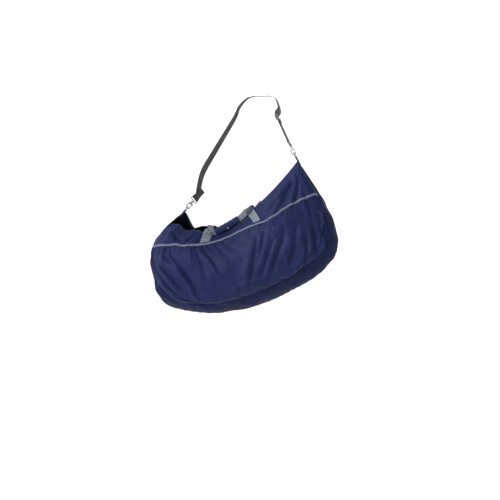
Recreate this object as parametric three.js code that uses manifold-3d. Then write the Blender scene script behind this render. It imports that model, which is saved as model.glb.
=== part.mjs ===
// Foldable tote bag, carried on its shoulder strap. Millimetres, +Z up, +X along the bag towards the
// end that hangs higher, +Y towards the wearer. The origin is on the underside of the strap, where it
// rests on the shoulder. The bag hangs in front of it, on a plane BAG_Y away.
import * as THREE from "three";
import { mergeVertices } from "three/addons/utils/BufferGeometryUtils.js";
import Module from "manifold-3d";

// ---- driving dimensions ----
const BAG_Y = -200; // the bag's middle plane
const FABRIC = 1.6; // wall of a fabric panel, seam allowances included
const SEAM_GAP = 0.8; // half of the gap between two panels at a seam
const RIDGE_SHARPNESS = 0.7; // above 0, pulls the section in towards the zip
const SEAM_AT = 0.88; // the gusset seam, as a share of the way from top edge to outline
const ZIP_CENTRE = new THREE.Vector2(-854.6, 523.1);
const ZIP_RADIUS = 1311.4; // the closed zip sags along this arc
const ZIP_START = 42.6; // degrees from straight down, where the slider is parked
const ZIP_END = 52.3;
const WEBBING = 36; // width of the handle and shoulder webbing
const WEBBING_THICK = 2;
const ROWS_PER_STATION = 3; // sections of a panel between two stations
const TRIM_WIDTH = 9;
const TRIM_THICK = 2.4;
const TRIM_LIFT = 1.3; // clear of the panels under it

// Stations of the bag from its left peak to its right peak. outline is the bag's lower outline, [x, z].
// front and back are the two top edges, [x, z, distance from the middle plane]. zip is the angle on the
// zip's arc, where both top edges meet. half is the half width, and trim is how far down the front the
// piping runs, as a share of the way from the top edge to the outline.
const STATIONS = [
  { outline: [-287, -480], front: [-286, -482, 3], back: [-282, -482, 3], half: 5, trim: 1 },
  { outline: [-343, -532], front: [-314, -505, 10], back: [-272, -503, 5], half: 22, trim: 1 },
  { outline: [-388, -577], front: [-342, -530, 18], back: [-262, -525, 8], half: 38, trim: 1 },
  { outline: [-420, -621], front: [-326, -533, 30], back: [-248, -548, 12], half: 56, trim: 0.95 },
  { outline: [-426, -679], front: [-300, -535, 38], back: [-234, -546, 16], half: 80, trim: 0.56 },
  { outline: [-411, -756], front: [-272, -559, 42], back: [-218, -542, 20], half: 104, trim: 0.276 },
  { outline: [-386, -833], front: [-242, -557, 44], back: [-202, -542, 22], half: 122, trim: 0.212 },
  { outline: [-326, -876], front: [-211, -560, 44], back: [-182, -544, 22], half: 133, trim: 0.17 },
  { outline: [-235, -891], front: [-164, -577, 38], back: [-154, -551, 20], half: 139, trim: 0.1 },
  { outline: [-126, -889], front: [-94, -560, 26], back: [-94, -541, 16], half: 140, trim: 0.075 },
  { outline: [-16, -870], front: [-28, -508, 14], back: [-28, -499, 13], half: 140, trim: 0.12 },
  { outline: [92, -833], zip: 42.6, half: 139, trim: 0.205 },
  { outline: [189, -783], zip: 44.6, half: 132, trim: 0.235 },
  { outline: [266, -733], zip: 46.5, half: 118, trim: 0.252 },
  { outline: [326, -681], zip: 48.2, half: 98, trim: 0.28 },
  { outline: [356, -619], zip: 49.6, half: 78, trim: 0.338 },
  { outline: [352, -551], zip: 50.7, half: 60, trim: 0.438 },
  { outline: [326, -483], zip: 51.5, half: 43, trim: 0.596 },
  { outline: [284, -416], zip: 52.1, half: 28, trim: 0.9 },
  { outline: [235, -345], zip: 52.6, half: 15, trim: 1 },
  { outline: [186, -272], zip: 52.95, half: 5, trim: 1 },
];
const ZIP_STATION = 11; // the first station whose top edges meet

// ---- helpers ----
const V = (x, y, z) => new THREE.Vector3(x, y, z);
const radians = (degrees) => (degrees * Math.PI) / 180;
const mix = THREE.MathUtils.lerp;

function solidFromGrid(outer, inner) {
  // A closed wall between two grids of points, outer and inner, with the same rows and columns.
  const rows = outer.length;
  const columns = outer[0].length;
  const points = [...outer.flat(), ...inner.flat()];
  const at = (layer, i, j) => layer * rows * columns + i * columns + j;
  const faces = [];
  const quad = (a, b, c, d) => faces.push(a, b, c, a, c, d);
  for (let i = 0; i < rows - 1; i += 1) {
    for (let j = 0; j < columns - 1; j += 1) {
      quad(at(0, i, j), at(0, i, j + 1), at(0, i + 1, j + 1), at(0, i + 1, j));
      quad(at(1, i, j), at(1, i + 1, j), at(1, i + 1, j + 1), at(1, i, j + 1));
    }
  }
  for (let i = 0; i < rows - 1; i += 1) {
    quad(at(0, i, 0), at(0, i + 1, 0), at(1, i + 1, 0), at(1, i, 0));
    quad(at(0, i + 1, columns - 1), at(0, i, columns - 1), at(1, i, columns - 1), at(1, i + 1, columns - 1));
  }
  for (let j = 0; j < columns - 1; j += 1) {
    quad(at(0, 0, j + 1), at(0, 0, j), at(1, 0, j), at(1, 0, j + 1));
    quad(at(0, rows - 1, j), at(0, rows - 1, j + 1), at(1, rows - 1, j + 1), at(1, rows - 1, j));
  }
  return outwards(geometryOf(points, faces));
}

function geometryOf(points, faces) {
  const geometry = new THREE.BufferGeometry();
  geometry.setFromPoints(points);
  geometry.setIndex(faces);
  return geometry;
}

function outwards(geometry) {
  // Turns the faces round when the signed volume is negative.
  const position = geometry.getAttribute("position");
  const index = geometry.getIndex();
  const corner = [V(0, 0, 0), V(0, 0, 0), V(0, 0, 0)];
  let volume = 0;
  for (let k = 0; k < index.count; k += 3) {
    corner.forEach((point, m) => point.fromBufferAttribute(position, index.getX(k + m)));
    volume += corner[0].dot(corner[1].clone().cross(corner[2]));
  }
  if (volume < 0) {
    for (let k = 0; k < index.count; k += 3) {
      const second = index.getX(k + 1);
      index.setX(k + 1, index.getX(k + 2));
      index.setX(k + 2, second);
    }
  }
  return geometry;
}

function strip(stations) {
  // A flat strip, such as webbing. Each station has its centre, the direction across and the thickness.
  const outer = stations.map(({ centre, across, normal, width, thick }) => [
    centre.clone().addScaledVector(across, -width / 2).addScaledVector(normal, thick / 2),
    centre.clone().addScaledVector(across, width / 2).addScaledVector(normal, thick / 2),
  ]);
  const inner = stations.map(({ centre, across, normal, width, thick }) => [
    centre.clone().addScaledVector(across, -width / 2).addScaledVector(normal, -thick / 2),
    centre.clone().addScaledVector(across, width / 2).addScaledVector(normal, -thick / 2),
  ]);
  return solidFromGrid(outer, inner);
}

function webbingAlong(points, acrossAt, width, thick) {
  // Webbing along a list of points, lying across the direction that acrossAt gives at each one.
  const stations = points.map((centre, k) => {
    const before = points[Math.max(k - 1, 0)];
    const after = points[Math.min(k + 1, points.length - 1)];
    const along = after.clone().sub(before).normalize();
    const wanted = acrossAt(k / (points.length - 1));
    const normal = along.clone().cross(wanted).normalize();
    const across = normal.clone().cross(along).normalize();
    const share = k / (points.length - 1);
    return { centre, across, normal, width: typeof width === "function" ? width(share) : width, thick };
  });
  return strip(stations);
}

function spline(values, t) {
  // Catmull-Rom through evenly spaced values, where t counts stations.
  const last = values.length - 1;
  const k = Math.min(Math.floor(t), last - 1);
  const f = t - k;
  const p0 = values[Math.max(k - 1, 0)];
  const p1 = values[k];
  const p2 = values[k + 1];
  const p3 = values[Math.min(k + 2, last)];
  const a = 2 * p1;
  const b = p2 - p0;
  const c = 2 * p0 - 5 * p1 + 4 * p2 - p3;
  const d = 3 * p1 - p0 - 3 * p2 + p3;
  return 0.5 * (a + b * f + c * f * f + d * f * f * f);
}

// ---- the bag's surface ----
function zipPoint(degrees, lift = 0, y = 0) {
  // On the zip's arc. lift is towards the arc's centre, so out of the bag.
  const angle = radians(degrees);
  const radius = ZIP_RADIUS - lift;
  return V(ZIP_CENTRE.x + radius * Math.sin(angle), y, ZIP_CENTRE.y - radius * Math.cos(angle));
}

const ZIP_EDGE = 7; // half of the zip's width that shows between the two panels
const edgeOf = (station, side) => {
  if (station.zip === undefined) {
    return station[side];
  }
  const point = zipPoint(station.zip);
  return [point.x, point.z, Math.min(ZIP_EDGE, station.half)];
};
const FRONT_EDGE = STATIONS.map((station) => edgeOf(station, "front"));
const BACK_EDGE = STATIONS.map((station) => edgeOf(station, "back"));
const OUTLINE = STATIONS.map((station) => station.outline);
const TRACK = {
  front: [0, 1, 2].map((n) => FRONT_EDGE.map((edge) => edge[n])),
  back: [0, 1, 2].map((n) => BACK_EDGE.map((edge) => edge[n])),
  outline: [0, 1].map((n) => OUTLINE.map((point) => point[n])),
  half: STATIONS.map((station) => station.half),
  zip: STATIONS.map((station, k) => station.zip ?? ZIP_START - (ZIP_STATION - k) * 2),
  trim: STATIONS.map((station) => station.trim),
};

function topEdge(t, side) {
  const y = spline(TRACK[side][2], t);
  if (t >= ZIP_STATION) {
    return zipPoint(spline(TRACK.zip, t), 0, y);
  }
  return V(spline(TRACK[side][0], t), y, spline(TRACK[side][1], t));
}

function surface(t, down, side) {
  // The outer face. down is 0 at the top edge and 1 on the outline. side is front (-Y) or back (+Y).
  const top = topEdge(t, side);
  const turn = Math.acos(1 - 2 * Math.min(Math.max(down, 0), 1));
  const bulge = Math.sin(turn) * Math.sin(turn / 2) ** RIDGE_SHARPNESS;
  const half = spline(TRACK.half, t) * bulge * 1.12 + top.y * (1 - down) ** 2;
  const x = mix(top.x, spline(TRACK.outline[0], t), down);
  const z = mix(top.z, spline(TRACK.outline[1], t), down);
  return V(x, side === "front" ? -half : half, z);
}

function normalAt(t, down, side) {
  const step = 0.02;
  const low = Math.max(down - step, 0.0005);
  const high = Math.min(down + step, 0.9995);
  const t0 = Math.max(t - step, 0);
  const t1 = Math.min(t + step, STATIONS.length - 1);
  const alongT = surface(t1, down, side).sub(surface(t0, down, side));
  const alongDown = surface(t, high, side).sub(surface(t, low, side));
  const normal = alongDown.cross(alongT).normalize();
  return side === "front" ? normal : normal.negate();
}

function offSurface(t, down, side, lift) {
  return surface(t, down, side).addScaledVector(normalAt(t, down, side), lift);
}

const trimAt = (t) => Math.min(spline(TRACK.trim, t), 1);
const SEAM_SHARE = SEAM_GAP / 350; // the seam gap as a share of the way down

function range(from, to, count) {
  return Array.from({ length: count }, (_, k) => mix(from, to, k / (count - 1)));
}

function rowsBetween(t0, t1) {
  // Stations of the sections, the same on every piece, so that neighbours meet edge to edge.
  const count = Math.round((t1 - t0) * ROWS_PER_STATION) + 1;
  return range(t0, t1, count);
}

function panel(side, t0, t1, columns, downFrom, downTo) {
  // A fabric wall on one side, from downFrom(t) to downTo(t).
  const grid = (lift) =>
    rowsBetween(t0, t1).map((t) =>
      range(0, 1, columns).map((share) => {
        const turnFrom = Math.acos(1 - 2 * downFrom(t));
        const turnTo = Math.acos(1 - 2 * downTo(t));
        const down = (1 - Math.cos(mix(turnFrom, turnTo, share))) / 2;
        return offSurface(t, down, side, lift);
      }),
    );
  return solidFromGrid(grid(0), grid(-FABRIC));
}

function gusset(t0, t1, columns) {
  // The band under the bag, from the front seam round the outline to the back seam.
  const grid = (lift) =>
    rowsBetween(t0, t1).map((t) =>
      range(-1, 1, columns).map((share) => {
        const seamTurn = Math.acos(1 - 2 * (SEAM_AT + SEAM_SHARE));
        const turn = mix(Math.PI, seamTurn, Math.abs(share));
        const down = (1 - Math.cos(turn)) / 2;
        return offSurface(t, down, share < 0 ? "front" : "back", lift);
      }),
    );
  return solidFromGrid(grid(0), grid(-FABRIC));
}

// ---- assembly ----
const bag = new THREE.Group();
const COLOURS = {
  navy: new THREE.Color(0.04, 0.05, 0.15),
  trim: new THREE.Color(0.32, 0.34, 0.42),
  webbing: new THREE.Color(0.36, 0.4, 0.42),
  charcoal: new THREE.Color(0.06, 0.06, 0.06),
  black: new THREE.Color(0.02, 0.02, 0.02),
  steel: new THREE.Color(0.75, 0.75, 0.77),
};

function add(name, geometry, colour, roughness, metalness = 0) {
  const material = new THREE.MeshStandardMaterial({ color: COLOURS[colour], roughness, metalness });
  const mesh = new THREE.Mesh(geometry, material);
  mesh.name = name;
  bag.add(mesh);
  return mesh;
}

const hung = new THREE.Group(); // everything that hangs on the bag's plane
hung.position.set(0, BAG_Y, 0);
bag.add(hung);

function addHung(name, geometry, colour, roughness, metalness = 0) {
  const mesh = add(name, geometry, colour, roughness, metalness);
  hung.add(mesh);
  return mesh;
}

// panels
const LAST = STATIONS.length - 1;
const FIRST_T = 1 / 3;
const LAST_T = LAST - 2 / 3;
const TRIM_T0 = 10 / 3;
const TRIM_T1 = 53 / 3;
const seamShare = () => SEAM_AT - SEAM_SHARE;
const upperEnd = (t) => Math.min(trimAt(t), SEAM_AT) - SEAM_SHARE;
const topShare = () => 0.0005;
for (const side of ["front", "back"]) {
  addHung(`${side}_upper_panel`, panel(side, FIRST_T, LAST_T, 5, topShare, upperEnd), "navy", 0.6);
  const lowerStart = (t) => trimAt(t) + SEAM_SHARE;
  addHung(`${side}_lower_panel`, panel(side, TRIM_T0, TRIM_T1, 8, lowerStart, seamShare), "navy", 0.6);
}

// gusset, in three pieces sewn end to end
const LEFT_JOIN = 6;
const RIGHT_JOIN = 14;
const JOIN_GAP = 0.01;
addHung("left_end_gusset", gusset(FIRST_T, LEFT_JOIN - JOIN_GAP, 7), "navy", 0.6);
addHung("bottom_gusset", gusset(LEFT_JOIN + JOIN_GAP, RIGHT_JOIN - JOIN_GAP, 7), "navy", 0.6);
addHung("right_end_gusset", gusset(RIGHT_JOIN + JOIN_GAP, LAST_T, 7), "navy", 0.6);

// piping over the seam between the upper and lower panels
function trimStrip(side) {
  const stations = rowsBetween(TRIM_T0, TRIM_T1).map((t) => {
    const lift = TRIM_THICK / 2 + TRIM_LIFT;
    const centre = offSurface(t, trimAt(t), side, lift);
    const ahead = offSurface(t + 0.05, trimAt(t + 0.05), side, lift);
    const normal = normalAt(t, trimAt(t), side);
    const along = ahead.sub(centre).normalize();
    const across = normal.clone().cross(along).normalize();
    return { centre, across, normal, width: TRIM_WIDTH, thick: TRIM_THICK };
  });
  return strip(stations);
}
addHung("front_trim", trimStrip("front"), "trim", 0.7);
addHung("back_trim", trimStrip("back"), "trim", 0.7);

// ---- zip: two tapes and the closed coil between them, all along the arc ----
const TAPE_FROM = 2; // from the middle plane to the tape's inner edge
const TAPE_TO = 5.2;
const TAPE_LIFT = -2; // the tapes lie just below the panels' edges
const COIL_HALF = 1.6;

function arcBar(fromAngle, toAngle, steps, y0, y1, lift0, lift1) {
  // A bar of rectangular section along the zip's arc.
  const grid = (lift) =>
    range(fromAngle, toAngle, steps).map((angle) => [zipPoint(angle, lift, y0), zipPoint(angle, lift, y1)]);
  return solidFromGrid(grid(lift1), grid(lift0));
}
const tapeLow = TAPE_LIFT - 1;
addHung("front_zip_tape", arcBar(ZIP_START, ZIP_END, 14, -TAPE_TO, -TAPE_FROM, tapeLow, TAPE_LIFT), "black", 0.8);
addHung("back_zip_tape", arcBar(ZIP_START, ZIP_END, 14, TAPE_FROM, TAPE_TO, tapeLow, TAPE_LIFT), "black", 0.8);
addHung("zip_coil", arcBar(ZIP_START, ZIP_END, 14, -COIL_HALF, COIL_HALF, -4.2, -1.2), "black", 0.5);
addHung("zip_end_stop", arcBar(ZIP_END + 0.03, ZIP_END + 0.16, 2, -2.6, 2.6, -4.4, -0.8), "steel", 0.35, 1);

// The slider is an inverted channel over the coil. Its pull lies downhill along the zip.
const SLIDER_LENGTH = 14; // along the zip
const SLIDER_AT = ZIP_START + 0.35;
const wasm = await Module();
wasm.setup();

function toSolid(geometry) {
  const bare = geometry.clone();
  bare.deleteAttribute("normal");
  bare.deleteAttribute("uv");
  const merged = mergeVertices(bare, 1e-4);
  const vertProperties = new Float32Array(merged.getAttribute("position").array);
  const triVerts = new Uint32Array(merged.getIndex().array);
  return new wasm.Manifold(new wasm.Mesh({ numProp: 3, vertProperties, triVerts }));
}

function toGeometry(solid) {
  const mesh = solid.getMesh();
  const geometry = new THREE.BufferGeometry();
  geometry.setAttribute("position", new THREE.BufferAttribute(new Float32Array(mesh.vertProperties), 3));
  geometry.setIndex(new THREE.BufferAttribute(new Uint32Array(mesh.triVerts), 1));
  return geometry;
}

function box(width, depth, height, x = 0, y = 0, z = 0) {
  return new THREE.BoxGeometry(width, depth, height).translate(x, y, z);
}

function pinGeometry(radius, length, x, z, sides = 14) {
  // A round bar along local Y, through (x, z).
  return new THREE.CylinderGeometry(radius, radius, length, sides).translate(x, 0, z);
}

function union(geometries) {
  return geometries.map(toSolid).reduce((sum, solid) => sum.add(solid));
}

function cut(solid, geometries) {
  return geometries.map(toSolid).reduce((rest, tool) => rest.subtract(tool), solid);
}

function zipFrame(degrees) {
  // A group whose X runs along the zip and whose Z points out of the bag.
  const group = new THREE.Group();
  group.position.copy(zipPoint(degrees));
  group.rotation.y = -radians(degrees);
  hung.add(group);
  return group;
}

function addTo(group, name, geometry, colour, roughness, metalness = 0) {
  const mesh = add(name, geometry, colour, roughness, metalness);
  group.add(mesh);
  return mesh;
}

const PULL_PIVOT = 4.6; // height of the pull's pivot over the zip line
const sliderGroup = zipFrame(SLIDER_AT);
const sliderBody = union([
  box(SLIDER_LENGTH, 8.4, 1.6, 0, 0, 0.2),
  box(SLIDER_LENGTH, 1.6, 2.4, 0, -3.4, -0.4),
  box(SLIDER_LENGTH, 1.6, 2.4, 0, 3.4, -0.4),
  box(5, 3, 6.6, -3, 0, 3.7),
]);
const pullHole = pinGeometry(1.25, 6, -3, PULL_PIVOT);
addTo(sliderGroup, "zip_slider", toGeometry(cut(sliderBody, [pullHole])), "black", 0.4, 1);
const pullBody = union([
  pinGeometry(0.9, 7, -3, PULL_PIVOT),
  box(7, 1.2, 1.8, -5.7, -3, PULL_PIVOT),
  box(7, 1.2, 1.8, -5.7, 3, PULL_PIVOT),
  box(21, 7.2, 1.4, -19.5, 0, PULL_PIVOT),
]);
addTo(sliderGroup, "zip_pull", toGeometry(pullBody), "black", 0.4, 1);

// ---- handle webbing sewn on the panels ----
function sewnStrip(side, from, to, width, rows) {
  // Webbing that follows the panel from its top edge down to the piping.
  const rowAt = (share, lift) => {
    const t = mix(from.t, to.t, share);
    const middle = mix(from.down, trimAt(t) - LEG_FOOT_GAP, share);
    const perStation = surface(t + 0.1, middle, side).distanceTo(surface(t - 0.1, middle, side)) / 0.2;
    const reach = width / 2 / perStation;
    return range(-reach, reach, 7).map((shift) => {
      const down = mix(from.down, trimAt(t + shift) - LEG_FOOT_GAP, share);
      return offSurface(t + shift, down, side, lift);
    });
  };
  const grid = (lift) => range(0, 1, rows).map((share) => rowAt(share, lift));
  return solidFromGrid(grid(LEG_LIFT + WEBBING_THICK), grid(LEG_LIFT));
}
const LEG_LIFT = 1.4; // clear of the panel under it
const LEG_FOOT_GAP = 0.022; // between a leg's foot and the piping's middle, as a share of the way down
const LEFT_LEG = { top: { t: 7.75, down: 0.012 }, foot: { t: 7.68 } };
const RIGHT_LEG = { top: { t: 10.42, down: 0.012 }, foot: { t: 10.8 } };
for (const side of ["front", "back"]) {
  const left = sewnStrip(side, LEFT_LEG.top, LEFT_LEG.foot, WEBBING, 4);
  const right = sewnStrip(side, RIGHT_LEG.top, RIGHT_LEG.foot, WEBBING, 4);
  addHung(`${side}_handle_left_leg`, left, "webbing", 0.8);
  addHung(`${side}_handle_right_leg`, right, "webbing", 0.8);
}

// ---- the two handle loops and the wrap that joins them ----
const GRIP = { left: V(-146, -27, -563), right: V(-50, -27, -508) }; // ends of the grip's axis
const GRIP_HEIGHT = 31;
const GRIP_DEPTH = 25;
const GRIP_WALL_GAP = 0.6;
const HOLE_DEPTH = 4.2; // half of the depth inside the wrap
const LOOP_NARROW = 22; // webbing folded inside the wrap
const LEFT_EDGE_WAY = V(-0.94, 0, 0.3);
const RIGHT_EDGE_WAY = V(0.68, 0, 0.73);
const ROOT_LIFT = 9; // a loop's end stands this far off the panel
const gripAlong = GRIP.right.clone().sub(GRIP.left).normalize();
const gripUp = V(0, -1, 0).cross(gripAlong).normalize();

function handleLoop(yInGrip, leftLead, rightLead) {
  // The leads are the free stretches, from each leg's top to the wrap's mouth. At its root the webbing
  // lies along the bag's edge, and in the wrap it stands on edge.
  const inGrip = (share) => GRIP.left.clone().lerp(GRIP.right, share).add(V(0, yInGrip, 0));
  const held = [-0.04, 0.3, 0.7, 1.04].map(inGrip);
  const route = [...leftLead, ...held, ...rightLead.slice().reverse()];
  const turned = [0, 0.45, 0.85];
  const widths = [WEBBING * 0.7, LOOP_NARROW + 3, LOOP_NARROW];
  const stations = route.map((centre, k) => {
    const fromRoot = Math.min(k, route.length - 1 - k);
    const edgeWay = k < route.length / 2 ? LEFT_EDGE_WAY : RIGHT_EDGE_WAY;
    const beforePoint = route[Math.max(k - 1, 0)];
    const afterPoint = route[Math.min(k + 1, route.length - 1)];
    const along = afterPoint.clone().sub(beforePoint).normalize();
    const wanted = edgeWay.clone().lerp(gripUp, turned[fromRoot] ?? 1);
    const normal = along.clone().cross(wanted).normalize();
    const across = normal.clone().cross(along).normalize();
    return { centre, across, normal, width: widths[fromRoot] ?? LOOP_NARROW, thick: WEBBING_THICK };
  });
  return strip(stations);
}
const rootAt = (side, leg) => offSurface(leg.top.t, leg.top.down, side, ROOT_LIFT);
const FRONT_LEADS = [
  [rootAt("front", LEFT_LEG), V(-172, -44, -558), V(-161, -35, -563)],
  [rootAt("front", RIGHT_LEG), V(-16, -28, -476), V(-33, -30, -493)],
];
const BACK_LEADS = [
  [rootAt("back", LEFT_LEG), V(-174, 4, -536), V(-164, -19, -558)],
  [rootAt("back", RIGHT_LEG), V(-10, 6, -462), V(-29, -16, -485)],
];
addHung("front_handle_loop", handleLoop(-2.2, ...FRONT_LEADS), "webbing", 0.8);
addHung("back_handle_loop", handleLoop(2.2, ...BACK_LEADS), "webbing", 0.8);

function ovalShape(width, height) {
  const shape = new THREE.Shape();
  shape.absellipse(0, 0, width / 2, height / 2, 0, Math.PI * 2, false, 0);
  return shape;
}
const wrapShape = ovalShape(GRIP_DEPTH, GRIP_HEIGHT);
const wrapHole = new THREE.Path();
const holeHalf = LOOP_NARROW / 2 + GRIP_WALL_GAP;
wrapHole.moveTo(-HOLE_DEPTH, -holeHalf).lineTo(HOLE_DEPTH, -holeHalf);
wrapHole.lineTo(HOLE_DEPTH, holeHalf).lineTo(-HOLE_DEPTH, holeHalf).closePath();
wrapShape.holes.push(wrapHole);
const gripLength = GRIP.left.distanceTo(GRIP.right);
const wrapGeometry = new THREE.ExtrudeGeometry(wrapShape, {
  depth: gripLength,
  bevelEnabled: false,
  curveSegments: 10,
  steps: 1,
});
const gripBasis = new THREE.Matrix4().makeBasis(gripUp.clone().cross(gripAlong), gripUp, gripAlong);
wrapGeometry.applyMatrix4(gripBasis.setPosition(GRIP.left));
addHung("handle_wrap", wrapGeometry, "navy", 0.7);
const snapSpot = GRIP.left.clone().lerp(GRIP.right, 0.5).addScaledVector(gripUp, -GRIP_HEIGHT * 0.3);
const snap = new THREE.CylinderGeometry(3.4, 4.2, 2, 12);
snap.rotateX(Math.PI / 2).translate(snapSpot.x, snapSpot.y - GRIP_DEPTH / 2 - 1.3, snapSpot.z);
addHung("wrap_snap", snap, "steel", 0.3, 1);

// ---- rings, snap hooks and swivel eyes ----
// Each end has two frames, which cross at the point where the hook pulls on the ring. In the ring's, local
// Z runs up from the bag's peak, in the bag's plane. In the hook's, local Z leans up along the strap.
const ENDS = {
  left: { peak: V(-285, BAG_Y, -479), towards: V(0.587, 0.35, 0.737), eyeTurn: -35 },
  right: { peak: V(183, BAG_Y, -261), towards: V(-0.44, 0.45, 0.78), eyeTurn: 0 },
};
const RING = { inside: 12.5, wire: 3.6, bar: 3.2, archCentre: 10.5 };
const HOOK = { slack: 3.6, wall: 4.2, hole: 6, thick: 5.6, collarTop: 54, collarHalf: 4.6 };
const GATE_PIVOT = { x: 6.8, z: 40, pin: 1.0, hole: 1.3 };
const EYE = { foot: 57, hole: 7, wire: 3.4, inside: 38.5 };
const BEVEL = { bevelEnabled: true, bevelThickness: 0.8, bevelSize: 0.8, bevelOffset: -0.8, bevelSegments: 1 };
const RING_TOP = RING.archCentre + RING.inside; // inner edge of the ring, where the hook pulls
const BOW_BOTTOM = RING_TOP - HOOK.slack;
const EYE_BAR = EYE.foot + EYE.wire * 1.5 + EYE.hole;

const PULL_HEIGHT = (RING_TOP + BOW_BOTTOM) / 2;

function frameAlong(direction, origin) {
  const up = direction.clone().normalize();
  const bar = V(0, 1, 0).addScaledVector(up, -up.y).normalize();
  const sideways = bar.clone().cross(up);
  return { up, bar, sideways, origin };
}

const ringFrame = (end) => frameAlong(V(end.towards.x, 0, end.towards.z), end.peak);

function hookFrame(end) {
  const pullPoint = end.peak.clone().addScaledVector(ringFrame(end).up, PULL_HEIGHT);
  const up = end.towards.clone().normalize();
  return frameAlong(up, pullPoint.addScaledVector(up, -PULL_HEIGHT));
}

function groupIn({ up, bar, sideways, origin }) {
  const group = new THREE.Group();
  group.applyMatrix4(new THREE.Matrix4().makeBasis(sideways, bar, up).setPosition(origin));
  bag.add(group);
  return group;
}

function plateInXZ(shape, thick, options) {
  const geometry = new THREE.ExtrudeGeometry(shape, { depth: thick, curveSegments: 6, ...options });
  return geometry.translate(0, 0, -thick / 2).rotateX(Math.PI / 2);
}

function bevelled(shape, thick) {
  return plateInXZ(shape, thick - 2 * BEVEL.bevelThickness, BEVEL);
}

function archShape(half, low, centre) {
  const shape = new THREE.Shape();
  shape.moveTo(-half, low).lineTo(half, low).lineTo(half, centre);
  shape.absarc(0, centre, half, 0, Math.PI, false);
  return shape;
}

function ringGeometry() {
  const half = RING.inside + RING.wire;
  const low = RING.bar - RING.wire / 2;
  const shape = archShape(half, low, RING.archCentre);
  shape.holes.push(archShape(RING.inside, low + RING.wire, RING.archCentre));
  return bevelled(shape, RING.wire).rotateZ(Math.PI / 2);
}

function hookGeometry() {
  const half = HOOK.hole + HOOK.wall;
  const centre = BOW_BOTTOM + HOOK.hole;
  const collar = HOOK.collarHalf;
  const shape = new THREE.Shape();
  shape.moveTo(-collar, HOOK.collarTop).lineTo(-collar, 47);
  shape.quadraticCurveTo(-half, 45, -half, 38);
  shape.lineTo(-half, centre);
  shape.absarc(0, centre, half, Math.PI, Math.PI * 2, false);
  shape.lineTo(half, 38);
  shape.quadraticCurveTo(half, 45, collar, 47);
  shape.lineTo(collar, HOOK.collarTop);
  const hole = new THREE.Path();
  hole.absarc(0, centre, HOOK.hole, Math.PI, Math.PI * 2, false);
  hole.absarc(0, 33, HOOK.hole, 0, Math.PI, false);
  hole.closePath();
  shape.holes.push(hole);
  const body = toSolid(bevelled(shape, HOOK.thick));
  const bore = new THREE.CylinderGeometry(2.6, 2.6, 12, 14).rotateX(Math.PI / 2);
  return toGeometry(
    cut(body, [
      box(6, 8, 10.6, 8.4, 0, 31.2),
      box(8, 3.8, 7.2, 7.2, 0, 39.9),
      pinGeometry(GATE_PIVOT.hole, 9, GATE_PIVOT.x, GATE_PIVOT.z),
      bore.translate(0, 0, HOOK.collarTop - 3.6),
    ]),
  );
}

function gateGeometry() {
  const eye = pinGeometry(2.7, 1.8, GATE_PIVOT.x, GATE_PIVOT.z, 16).translate(0, -0.7, 0);
  const bar = box(3.2, 1.8, 11.6, 8.25, -0.7, 32.6);
  const finger = box(3.2, 4.6, 8, 8.25, 0, 30.6);
  return toGeometry(cut(union([eye, bar, finger]), [pinGeometry(GATE_PIVOT.hole, 6, GATE_PIVOT.x, GATE_PIVOT.z)]));
}

function springGeometry() {
  const profile = [
    new THREE.Vector2(1.35, 0.6),
    new THREE.Vector2(2.3, 0.6),
    new THREE.Vector2(2.3, 1.6),
    new THREE.Vector2(1.35, 1.6),
    new THREE.Vector2(1.35, 0.6),
  ];
  return new THREE.LatheGeometry(profile, 12).translate(GATE_PIVOT.x, 0, GATE_PIVOT.z);
}

function eyeGeometry(turn) {
  const half = EYE.inside / 2 + EYE.wire;
  const top = EYE.foot + 2 * EYE.wire + EYE.hole;
  const shape = new THREE.Shape();
  shape.moveTo(-half, EYE.foot).lineTo(half, EYE.foot).lineTo(half, top).lineTo(-half, top).closePath();
  const hole = new THREE.Path();
  const inner = EYE.inside / 2;
  hole.moveTo(-inner, EYE.foot + EYE.wire).lineTo(inner, EYE.foot + EYE.wire);
  hole.lineTo(inner, top - EYE.wire).lineTo(-inner, top - EYE.wire).closePath();
  shape.holes.push(hole);
  const frame = bevelled(shape, EYE.wire).rotateZ(Math.PI / 2);
  const stud = new THREE.CylinderGeometry(2.2, 2.2, 11, 14).rotateX(Math.PI / 2).translate(0, 0, EYE.foot - 5);
  const collar = new THREE.CylinderGeometry(4.2, 4.2, 2, 14).rotateX(Math.PI / 2).translate(0, 0, EYE.foot - 0.6);
  return toGeometry(union([frame, stud, collar])).rotateZ(radians(turn));
}

function foldRound(height, radius, over) {
  // The half turn of webbing round a bar, as [sideways, height] pairs. over is 1 above the bar, -1 below.
  return range(0, Math.PI, 7).map((turn) => [-radius * Math.cos(turn), height + over * radius * Math.sin(turn)]);
}

function tabGeometry() {
  const layer = 1.7;
  const fold = foldRound(RING.bar, 3.2, 1);
  const route = [[-layer, -6], [-layer, -2], ...fold, [layer, -2], [layer, -6]];
  const points = route.map(([x, z]) => V(x, 0, z));
  return webbingAlong(points, () => V(0, 1, 0), 23, 1.6);
}

for (const [side, end] of Object.entries(ENDS)) {
  const flat = groupIn(ringFrame(end));
  addTo(flat, `${side}_ring_tab`, tabGeometry(), "black", 0.8);
  addTo(flat, `${side}_ring`, ringGeometry(), "steel", 0.25, 1);
  const group = groupIn(hookFrame(end));
  addTo(group, `${side}_hook`, hookGeometry(), "steel", 0.25, 1);
  addTo(group, `${side}_gate`, gateGeometry(), "steel", 0.25, 1);
  const pin = pinGeometry(GATE_PIVOT.pin, HOOK.thick, GATE_PIVOT.x, GATE_PIVOT.z);
  addTo(group, `${side}_gate_pin`, pin, "steel", 0.25, 1);
  addTo(group, `${side}_gate_spring`, springGeometry(), "steel", 0.4, 1);
  addTo(group, `${side}_swivel_eye`, eyeGeometry(end.eyeTurn), "steel", 0.25, 1);
}

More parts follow.
